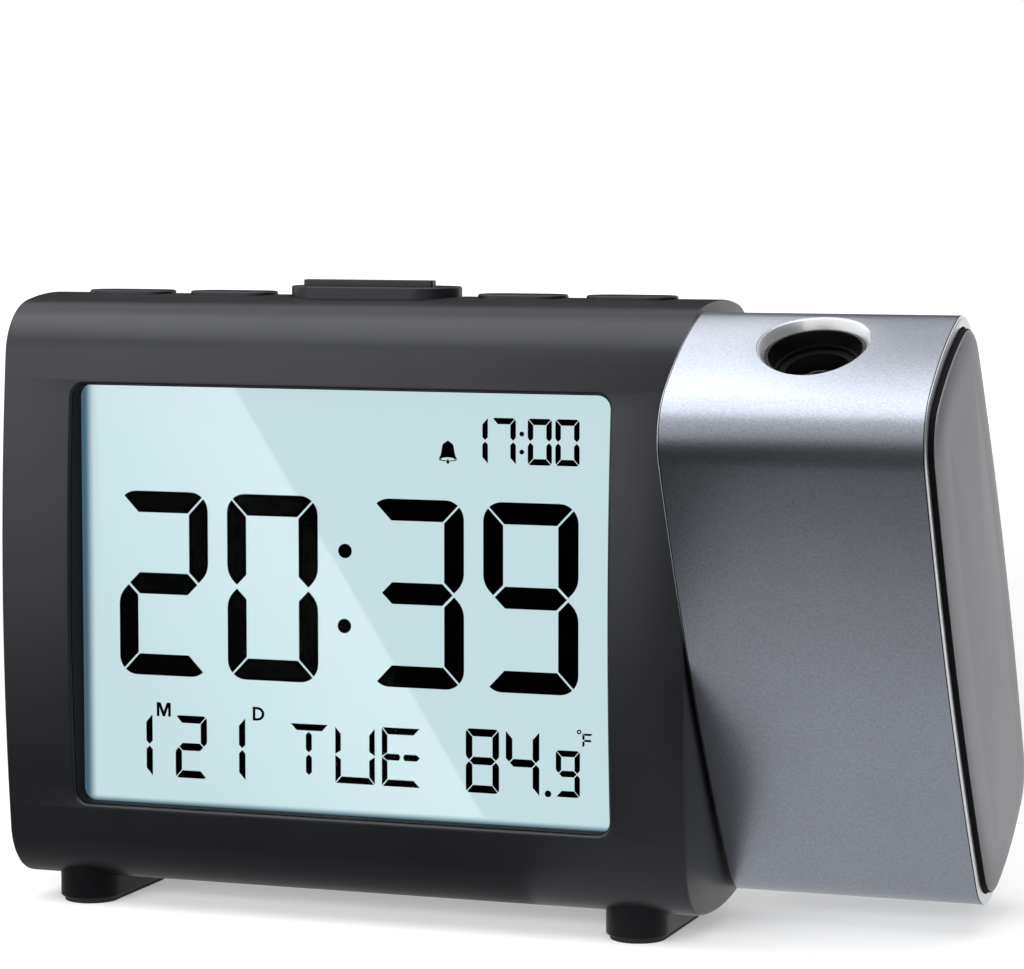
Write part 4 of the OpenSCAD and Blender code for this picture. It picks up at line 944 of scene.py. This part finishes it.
# %% Vents and screw holes
vent_n, vent_pitch, vent_mid = 6, 3.4, sensor[0] + 14
for i in range(vent_n):
    at_vent = at_back(vent_mid + (i - (vent_n - 1) / 2) * vent_pitch, sensor[2])
    cut(cover, pocket("vent", grows(*vent_size), at_vent, depth=6, edge=0.15))
screw_in = 5
screw_dx, screw_dz = cover_w / 2 - screw_in, cover_h / 2 - screw_in
screw_steps = [(2.9, -0.4), (2.45, 0.0), (2.31, 0.06), (2.25, 0.2), (2.25, 1.55), (1.25, 1.55),
               (1.25, 6.0)]
for sx in (-1, 1):
    for sz in (-1, 1):
        at_screw = at_back(body_mid + sx * screw_dx, sz * screw_dz)
        cut(cover, turned_cutter("screw_hole", at_screw, screw_steps))
show(tidy_mesh(cover), "body", "back", "rear_cover")

# %% [markdown]
# The door is a profile carried along X: the outer arc, a rounded top edge, the inner arc,
# and a half circle around the hinge at the bottom. Near its free edge it has four grooves
# for a thumb.

# %% The battery door
hinge_z, hinge_r, pin_r, pin_l = door_low + door_t / 2, door_t / 2, 0.65, 1.1
hinge_y = back_of_section(hinge_z) - hinge_r
door_top, top_edge = door_low + door_h, 0.4


def door_profile(shrink):
    """Outer arc upwards, top edge, inner arc downwards, then half round the hinge pin."""
    z = np.linspace(hinge_z, door_top - top_edge, 12)
    y, top_y = back_of_section(z), back_of_section(door_top)
    edge = [[top_y - top_edge, door_top - shrink], [top_y - door_t + 0.3, door_top - shrink]]
    inner = np.column_stack([y - door_t + shrink, z])[::-1]
    round_low = arc(hinge_y, hinge_z, hinge_r - shrink, -math.pi, 0, 12)[1:]
    return np.concatenate([np.column_stack([y - shrink, z]), edge, inner, round_low])


door_ends = door_x - door_w / 2, door_x + door_w / 2
door = loft("door", [lift(at_x(door_profile(shrink), x))
                     for x, shrink in both_ends(*door_ends, 0.25, steps=3)])
pin = arc(hinge_y, hinge_z, pin_r, 0, 2 * math.pi, 24)
pin_ends = door_ends[0] - pin_l, door_ends[1] + pin_l
join(door, loft("pins", [lift(at_x(pin, x)) for x in pin_ends]))
groove_n, groove_pitch, groove_top, groove_size = 4, 1.7, door_top - 3, (15, 0.7)
for i in range(groove_n):
    at_groove = at_back(door_x, groove_top - groove_pitch * i)
    cut(door, pocket("groove", grown_pill(*groove_size), at_groove, depth=0.5, edge=0.15))
show(tidy_mesh(door), "battery_door", "back", "battery_door")

# %% [markdown]
# ## The cap at the free end
# A black skirt lines the sleeve's end, and a low dome closes it. The dome's rings draw in as
# s goes from its edge to its flat middle, while its height rises as sqrt(1 - (1 - s)^3),
# which is steep at the edge and level in the middle.

# %% The cap
cap_inset, cap_wall, cap_low, cap_floor = sleeve_t + 0.2, 1.5, 67.0, 68.6
cap_x, cap_rise, cap_blend, cap_crown = 75.75, 0.8, 6.2, 0.45
dome_inset = cap_inset + 0.2
skirt = [(cap_low, cap_inset), (cap_x - 0.2, cap_inset), (cap_x - 0.06, cap_inset + 0.06),
         (cap_x, dome_inset), (cap_x, cap_inset + cap_wall), (cap_floor, cap_inset + cap_wall),
         (cap_floor, 8), (cap_floor, 14), (cap_low, 14), (cap_low, 8)]
cap_tube = loft("cap_skirt", [swing(ring_at_x(x, i)) for x, i in skirt], wrap=True)
show(cap_tube, "projector", "inner", "cap_base").data.materials[0] = matte_black


def dome_ring(s):
    """A ring of the dome's shoulder, at the share s from its edge to its flat middle."""
    x = cap_x + cap_rise * math.sqrt(1 - (1 - s) ** 3)
    return swing(ring_at_x(x, dome_inset + cap_blend * s))


def crown_ring(s):
    """The last dome ring, shrunk by s to the middle, rises a little more: crown (1 - s^2)."""
    ring = ring_at_x(cap_x + cap_rise + cap_crown * (1 - s * s), dome_inset + cap_blend)
    return swing(ring * [1, s, s])


plug = [swing(ring_at_x(cap_x - d, cap_inset + cap_wall + 0.15)) for d in (2.0, 0.0)]
skin = [dome_ring(s**2) for s in np.linspace(0, 1, 17)]
skin += [crown_ring(s) for s in np.linspace(1, 0.02, 12)[1:]]
show(loft("end_cap_dome", plug + skin, angle=50), "projector", "cap", "end_cap")

# %% [markdown]
# ## The projection lens
# A black ring lines the opening. It steps in below the sleeve's edge and funnels down to the
# tube in which the lens slides. The ring is turned: a profile of radius and depth, carried
# once round. Its upper points follow the sleeve's crown, and its lower ones lie level.

# %% The bezel
level = upright(sleeve_mid, opening_y, swing)
lip = [(7.3, 1.85), (7.28, 1.68), (7.2, 1.6), (7.0, 1.6), (6.9, 1.66), (6.85, 1.85)]
funnel = [(6.75, 43.3), (6.55, 42.3), (6.15, 42.3), (6.15, 35.6), (7.45, 35.6), (7.45, 43.2)]
flange = [(10.0, 4.0), (10.0, 1.9), (7.3, 1.9)]
parts = ((eye, lip), (level, funnel), (eye, flange))
rings = [drop(circle(radius, 96), place) for drop, line in parts for radius, place in line]
show(loft("bezel_ring", rings, wrap=True), "projector", "inner", "lens_bezel")

# %% [markdown]
# ## The display
# A liquid crystal display shows its segments as dark fields on lit glass. Here each lit
# segment is a thin plate on the glass: an outline with mitred ends, rounded where it turns a
# corner of the digit. One function draws a seven-segment digit of any size, and its mirror
# images give the four uprights from one and the two level bars from another.

# %% A seven-segment digit
def flip(shape, across=None, up=None):
    """Mirrors an outline in the middle of a width, of a height, or of both."""
    shape = np.array(shape, float)
    if across is not None:
        shape = shape[::-1] * [-1, 1] + [across, 0]
    if up is not None:
        shape = shape[::-1] * [1, -1] + [0, up]
    return shape


def digit_shapes(width, height, stroke, level, gap, bend):
    """Outlines of the seven segments. The mitre runs from the outer to the inner corner. It
    meets the outer arc at the share t = bend (s + l - sqrt(2 s l)) / (s^2 + l^2) of its way,
    for the strokes s and l. At the waist an eighth of a circle leads to a 45 degree point."""
    half = height / 2
    t = bend * (stroke + level - math.sqrt(2 * stroke * level)) / (stroke**2 + level**2)
    cross, part = math.atan2(bend - t * level, t * stroke - bend), gap / 2 / bend

    def outer(start, stop):
        a = np.linspace(start, stop, 6)
        return np.stack([bend + bend * np.cos(a), height - bend + bend * np.sin(a)], 1)

    left = np.concatenate([[[stroke + 0.7 * gap, height - level]],
                           outer(cross - part, math.pi / 2)])
    rung = np.concatenate([left, flip(left, across=width)])
    q, waist_r = np.linspace(0, math.pi / 4, 5), 1.19 * bend
    tip = half + gap
    drop = stroke / 2 + 0.414 * waist_r
    waist = np.stack([waist_r * (1 - np.cos(q)), tip + drop - waist_r * np.sin(q)], 1)
    post = np.concatenate([[[stroke, height - level - 0.7 * gap]], outer(cross + part, math.pi),
                           waist, [[stroke / 2, tip], [stroke, tip + stroke / 2]]])
    end = stroke / 2 + 0.8 * gap
    upper = [[end, half], [end + level / 2, half + level / 2],
             [width - end - level / 2, half + level / 2], [width - end, half]]
    centre = np.concatenate([upper, flip(upper[1:3], up=height)])
    return {"a": rung, "d": flip(rung, up=height), "g": centre, "f": post,
            "b": flip(post, across=width), "e": flip(post, up=height),
            "c": flip(post, across=width, up=height)}


print("a digit has", len(digit_shapes(4, 7, 1, 1, 0.1, 0.5)), "segments")


# %% A digit in its place
def digit(lit, x, z, size, strokes, gap, bend):
    """The lit segments at a place. A capital letter asks for a sharp outer corner."""
    soft = digit_shapes(*size, *strokes, gap, bend)
    sharp = digit_shapes(*size, *strokes, gap, 0.15 * strokes[0])
    return [(sharp if s.isupper() else soft)[s.lower()] + [x, z] for s in lit]


print("an eight lights", len(digit("abcdefg", 0, 0, (4, 7), (1, 1), 0.1, 0.5)), "segments")


# %% Letters of straight bars
def letter_post(height, stroke, level, gap):
    """Upper left upright: mitred at the top, and cut on one side at the waist."""
    half = height / 2
    return [[0, height - 0.7 * gap], [stroke, height - level - 0.7 * gap],
            [stroke, half + 0.6 * gap + 0.65 * stroke], [0, half + 0.6 * gap]]


def lozenge(x0, x1, z, thick, left, right):
    """A level bar with a point at each end. The points are left and right long."""
    h = thick / 2
    return [[x0, z], [x0 + left, z + h], [x1 - right, z + h], [x1, z], [x1 - right, z - h],
            [x0 + left, z - h]]


def turned(shape):
    """The same outline with its x and z exchanged, for an upright bar."""
    return np.array(shape)[::-1, ::-1]


print("a bar of", len(lozenge(0, 3, 0, 1, 0.5, 0.5)), "points")

# %% The marks on the display
digit_1, digit_2, digit_3, digit_4 = "BC", "abdeg", "abcdg", "BCFg"
digit_7, digit_8, digit_9, digit_0 = "abC", "abcdefg", "abcdfg", "abcdef"
marks = []
big = ((15.25, 29.1), (3.2, 3.35), 0.3, 3.0)
time_x, time_low = (-59.2, -40.65, -16.6, 1.8), -12.8
for lit, x in zip((digit_2, digit_0, digit_3, digit_9), time_x):
    marks += digit(lit, x, time_low, *big)
marks += [circle(1.12, 32) + [x, z] for x, z in ((-20.86, 7.98), (-21.01, -3.68))]
small = ((3.83, 7.05), (0.86, 0.94), 0.13, 0.55)
alarm_x, alarm_low = (-1.29, 3.21, 8.96, 13.36), 22.05
for lit, x in zip((digit_1, digit_7, digit_0, digit_0), alarm_x):
    marks += digit(lit, x, alarm_low, *small)
marks += [circle(0.37, 20) + [8.0, z] for z in (26.74, 24.01)]
row = ((5.39, 9.9), (1.05, 1.18), 0.15, 0.7)
for lit, x, z in ((digit_1, -59.1, -28.88), (digit_2, -49.73, -28.88),
                  (digit_1, -43.19, -28.75), (digit_8, -1.06, -28.48), (digit_4, 5.43, -28.48)):
    marks += digit(lit, x, z, *row)
marks += digit(digit_9, 13.48, -28.36, (3.85, 7.15), (0.85, 0.95), 0.13, 0.5)
marks += digit("aefg", 17.72, -20.65, (1.7, 2.19), (0.34, 0.32), 0.08, 0.1)
marks.append(circle(0.52, 24) + [12.23, -28.0])
print(len(marks), "marks of digits and dots")

# %% The day and the captions
post_stroke, bar_stroke, letter_gap = 0.9, 1.05, 0.18
for x, width, low, height in ((-22.6, 6.55, -28.24, 8.87), (-14.86, 6.25, -28.29, 9.16)):
    post = letter_post(height, post_stroke, bar_stroke, letter_gap)
    marks += [np.array(post) + [x, low], flip(post, up=height) + [x, low]]
    if x < -20:
        marks += [flip(post, across=width, up=up) + [x, low] for up in (None, height)]
    lead, inner = 0.7 * letter_gap, post_stroke + 0.7 * letter_gap
    right = (width - lead, width - inner) if x < -20 else (width, width - bar_stroke)
    under = [[lead, 0], [inner, bar_stroke], [right[1], bar_stroke], [right[0], 0]]
    marks.append(np.array(under) + [x, low])
    if x > -20:
        marks += [flip(under, up=height) + [x, low],
                  np.array(lozenge(0.2, 3.05, height / 2, 1.0, 0.6, 0.25)) + [x, low],
                  np.array(lozenge(3.5, 6.3, height / 2, 1.0, 0.25, 0.6)) + [x, low]]
marks.append([[-30.07, -19.27], [-23.86, -19.27], [-24.86, -20.3], [-29.07, -20.3]])
marks += [turned(lozenge(low, low + 3.2, -27.05, 0.97, 0.45, 0.45)) for low in (-23.7, -27.26)]
letter_m = [[0, 0], [0, 1], [0.27, 1], [0.5, 0.36], [0.73, 1], [1, 1], [1, 0], [0.82, 0],
            [0.82, 0.7], [0.58, 0], [0.42, 0], [0.18, 0.7], [0.18, 0]]
marks.append(np.array(letter_m) * [2.4, 2.2] + [-52.94, -19.29])
bow = np.linspace(math.pi / 2, -math.pi / 2, 16)
bow_line = np.stack([np.cos(bow) ** 0.75, np.sin(bow) / 2], 1)
marks.append(np.array([[0, 0], [0, 1], [0.22, 1], [0.22, 0]]) * [1.96, 2.17] + [-36.49, -19.18])
bow_walls = np.concatenate([bow_line * [0.78, 1], (bow_line * [0.56, 0.66])[::-1]])
marks.append(bow_walls * [1.96, 2.17] + [-36.06, -18.095])
print(len(marks), "marks with the day and the captions")

# %% The bell
bell_x, rim_z = -3.92, 22.62
side = np.array([[0.14, 25.41], [0.34, 25.22], [0.72, 25.0], [0.9, 24.7], [1.04, 23.8],
                 [1.2, 23.1], [1.5, 22.74]])
under = np.stack([1.1 * np.cos(bow + math.pi / 2), 0.28 * np.sin(bow + math.pi / 2)], 1)
marks.append(np.concatenate([side, under[::-1] + [0, rim_z], side[::-1] * [-1, 1]]) + [bell_x, 0])
lip = np.stack([np.cos(bow - math.pi / 2), np.sin(bow - math.pi / 2)], 1)
marks.append(np.concatenate([lip * [1.5, 0.36], (lip * [1.2, 0.22])[::-1]]) + [bell_x, rim_z])
marks.append(circle(0.22, 16) + [bell_x, 22.14])
stem = [[-0.1, 22.1], [0.1, 22.1], [0.1, 22.6], [-0.1, 22.6]]
marks.append(np.array(stem) + [bell_x, 0])
print(len(marks), "marks in all")

# %% One mesh of thin plates
glass_front = middle("lcd_glass")[1] - extent("lcd_glass")[1] / 2
mark_front, mark_back = glass_front - 0.06, glass_front + 0.02


def thin_plates(name, outlines):
    """Each outline once in front and once behind, with a quad between each pair of points."""
    points, faces, start = [], [], 0
    for line in outlines:
        line = np.asarray(line, float)
        n = len(line)
        points += [flat_at(y, 0, 0)(line, 0) for y in (mark_front, mark_back)]
        ring = np.arange(n)
        following = (ring + 1) % n
        sides = np.stack([ring, following, following + n, ring + n], 1) + start
        faces += sides.tolist() + [(ring + start).tolist(), (ring[::-1] + n + start).tolist()]
        start += 2 * n
    return tidy_mesh(new_object(name, np.concatenate(points), faces))


segments = thin_plates("display_marks", marks)
ring_walls = ((0.36, mark_front), (0.36, mark_back), (0.17, mark_back), (0.17, mark_front))
degree = loft("degree", [flat_at(y, 17.2, -18.25)(circle(radius, 24), 0)
                         for radius, y in ring_walls], wrap=True)
for thing in (segments, degree):
    show(thing, "body", "frame").data.materials[0] = ink

# %% [markdown]
# ## Studio
# A pale floor and a white room light the clock softly, and one large lamp hangs over it. Cards
# held close to the clock brighten its sleeve, its black pieces and the floor, each without
# touching the rest. Dark metal and black plastic show their shape best when they mirror
# something dark, so boards stand around, and only reflections see them.

# %% Camera
camera = into_scene("camera", bpy.data.cameras.new("camera"))
camera.data.sensor_width, camera.data.lens = 36, 128.07
camera.data.clip_start, camera.data.clip_end = 0.01, 20
camera_azimuth, camera_elevation = 19.371, 4.908
camera.location = (0.18874, -0.53222, 0.11654)
camera.rotation_euler = (math.radians(90 - camera_elevation), 0, math.radians(camera_azimuth))
bpy.context.scene.camera = camera
print("camera turned by", camera_azimuth, "and looking down by", camera_elevation, "degrees")


# %% Rays that see the white room
def seen_directly(tree):
    """1 for camera, glossy and transmitted rays, which show the room itself; else 0."""
    path = add(tree, "LightPath", {})
    total = sum_up(tree, "ADD", path["Is Camera Ray"], path["Is Glossy Ray"])
    return add(tree, "Math", {0: total, 1: path["Is Transmission Ray"]}, operation="ADD",
               use_clamp=True)[0]


print("camera, glossy and transmitted rays see the room")

# %% [markdown]
# The floor glows for the rays that see it. The glow grows with distance, so the floor's far
# part meets the white room without a line, and the clock's shadow stays.

# %% Floor and room
white, black = (1, 1, 1, 1), (0, 0, 0, 1)
reach = 4000
floor = new_object("floor", [[-reach, -reach, 0], [reach, -reach, 0], [reach, reach, 0],
                             [-reach, reach, 0]], [[0, 1, 2, 3]])
paper, tree, shader = new_finish("floor_paper")
spot = add(tree, "TexCoord", {})["Object"]
away = add(tree, "VectorMath", {0: spot}, operation="LENGTH")["Value"]
floor_glow = spread(tree, away, low=0.31, high=1.0, start=0.25, stop=1.2)
feed(tree, shader, {
    "Base Color": (0.8, 0.8, 0.8, 1), "Roughness": 0.8, "Specular IOR Level": 0.0,
    "Emission Color": white,
    "Emission Strength": sum_up(tree, "MULTIPLY", floor_glow, seen_directly(tree))})
floor.data.materials.append(paper)
floor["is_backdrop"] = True

room_air = bpy.data.worlds.new("room")
room_air.use_nodes = True
bpy.context.scene.world = room_air
tree = room_air.node_tree
room_glow = spread(tree, seen_directly(tree), low=0.3, high=1.0)
feed(tree, tree.nodes["Background"], {"Color": white, "Strength": room_glow})
print("floor", 2 * reach / 1000, "m wide")


# %% Lamps
def soft_light(name, size, radiance, only=()):
    """An area light of the given radiance: its power is radiance times pi times its area.
    Where pieces are named, it lights only them, as a card held close to them does."""
    light = bpy.data.lights.new(name, "AREA")
    light.shape, light.size, light.size_y = "RECTANGLE", *size
    light.energy = radiance * math.pi * size[0] * size[1]
    thing = into_scene(name, light)
    thing.rotation_mode, thing.visible_camera = "QUATERNION", False
    if only:
        lit = bpy.data.collections.new(name + "_lights")
        for piece in only:
            lit.objects.link(piece)
        thing.light_linking.receiver_collection = lit
    print(name, round(light.energy, 2), "W")
    return thing


def lamp(name, place, target, size, radiance, only=()):
    """A soft light at a place, turned to a target."""
    thing = soft_light(name, size, radiance, only)
    thing.location = place
    thing.rotation_quaternion = (Vector(target) - Vector(place)).to_track_quat("-Z", "Y")


black_pieces = [bpy.data.objects[n] for n in
                ("housing", "snooze_cap", "set_button_cap", "alarm_button_cap",
                 "minus_button_cap", "plus_button_cap", "foot_left_bar", "foot_right_bar")]
lamp("overhead", (-0.1, -0.3, 0.75), (-0.1, -0.3, 0), (1.3, 0.84), 2.04)
lamp("sleeve_card", (-0.09, 0.04, 0.21), (-0.09, 0.04, 0), (0.22, 0.15), 1.5, [sleeve])
lamp("body_card", (-0.25, -0.26, 0.11), (-0.25, 0, 0.11), (0.42, 0.21), 1.15, black_pieces)
lamp("floor_fill", (-0.05, -0.55, 0.16), (-0.02, 0, 0), (0.7, 0.2), 11.5, [floor])


# %% Boards
def board(name, corners, near, far, axis="Y", start=0.0, stop=0.1, way="LINEAR"):
    """A board that only reflections see. Along an axis its glow goes from near, at start, to
    far, at stop, which are places in metres."""
    finish, tree, shader = new_finish(name)
    part = add(tree, "SeparateXYZ", {0: add(tree, "TexCoord", {})["Object"]})
    glow = spread(tree, part[axis], near, far, start, stop, way)
    feed(tree, shader, {"Base Color": black, "Specular IOR Level": 0.0, "Emission Color": white,
                        "Emission Strength": glow})
    thing = new_object(name, corners, [[0, 1, 2, 3]])
    thing.data.materials.append(finish)
    thing.visible_camera = thing.visible_diffuse = thing.visible_shadow = False
    thing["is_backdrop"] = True


def lying(x0, x1, y0, y1):
    """Corners of a board that lies a millimetre over the floor."""
    return [[x0, y0, 1], [x1, y0, 1], [x1, y1, 1], [x0, y1, 1]]


def standing(x0, x1, y0, y1, height):
    """Corners of a board that stands on the floor, from one end of its foot to the other."""
    return [[x0, y0, 0], [x1, y1, 0], [x1, y1, height], [x0, y0, height]]


board("floor_board_left", lying(-1500, 8, -1500, 60), 0.5, 0.05, stop=-0.04)
board("floor_board_right", lying(8, 1800, -1500, 60), 0.74, 0.1, start=-0.035, stop=-0.108)
board("front_board", standing(-600, 500, -1500, -1500, 600), 0.35, 1.0, "Z", stop=0.5)
board("back_board", standing(-900, 60, 500, 500, 520), 0.04, 0.04)
board("right_board", standing(500, 500, -700, 600, 500), 0.15, 0.15)
board("graded_board", standing(60, 500, 600, 600, 500), 1.5, 0.15, "X", 0.12, 0.42,
      way="SMOOTHERSTEP")
print("boards on the floor, in front, behind and at the right")

# %% [markdown]
# The display's cover reflects a bright window with a slanting edge. A card in front of it
# makes that reflection. It lights the cover alone, so no other surface changes, and it is
# brightest along its edge.

# %% The slanting reflection
edge_high, edge_low = np.array([-74.9, 77.6]), np.array([-27.3, 2.2])
edge_way = (edge_low - edge_high) / np.linalg.norm(edge_low - edge_high)
aside = np.array([edge_way[1], -edge_way[0]])
card_w, card_l, card_y = 150.0, 190.0, -95.0
card_mid = (edge_high + edge_low) / 2 + aside * card_w / 2
card = soft_light("window_card", (card_w * MM, card_l * MM), 2.9,
                  only=[frame["nodes"]["display_lens"]])
card.data.use_nodes = True
tree = card.data.node_tree
part = add(tree, "SeparateXYZ", {0: add(tree, "NewGeometry", {})["Parametric"]})
card_glow = spread(tree, part["X"], 0.04, 1.0, start=0.65, stop=1.0, way="SMOOTHSTEP")
feed(tree, tree.nodes["Emission"], {"Strength": card_glow})
card.location = (card_mid[0] * MM, card_y * MM, card_mid[1] * MM)
turn_x, turn_z = Vector((-aside[0], 0, -aside[1])), Vector((0, -1, 0))
turn = Matrix((turn_x, turn_z.cross(turn_x), turn_z)).transposed()
card.rotation_quaternion = turn.to_quaternion()
print("card at", np.round(card_mid, 1))

# %% [markdown]
# ## The view and the box
# The view transform shows colours about as they are written. The box of all shown pieces
# is printed at the end. The new pieces have to stay in the measured model's box.

# %% The view transform
bpy.context.scene.view_settings.view_transform = "Standard"
print("view transform", bpy.context.scene.view_settings.view_transform)

# %% Sizes and finish
low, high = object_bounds()
print("visual box", [round(v * 1000, 1) for v in (*low, *high)])
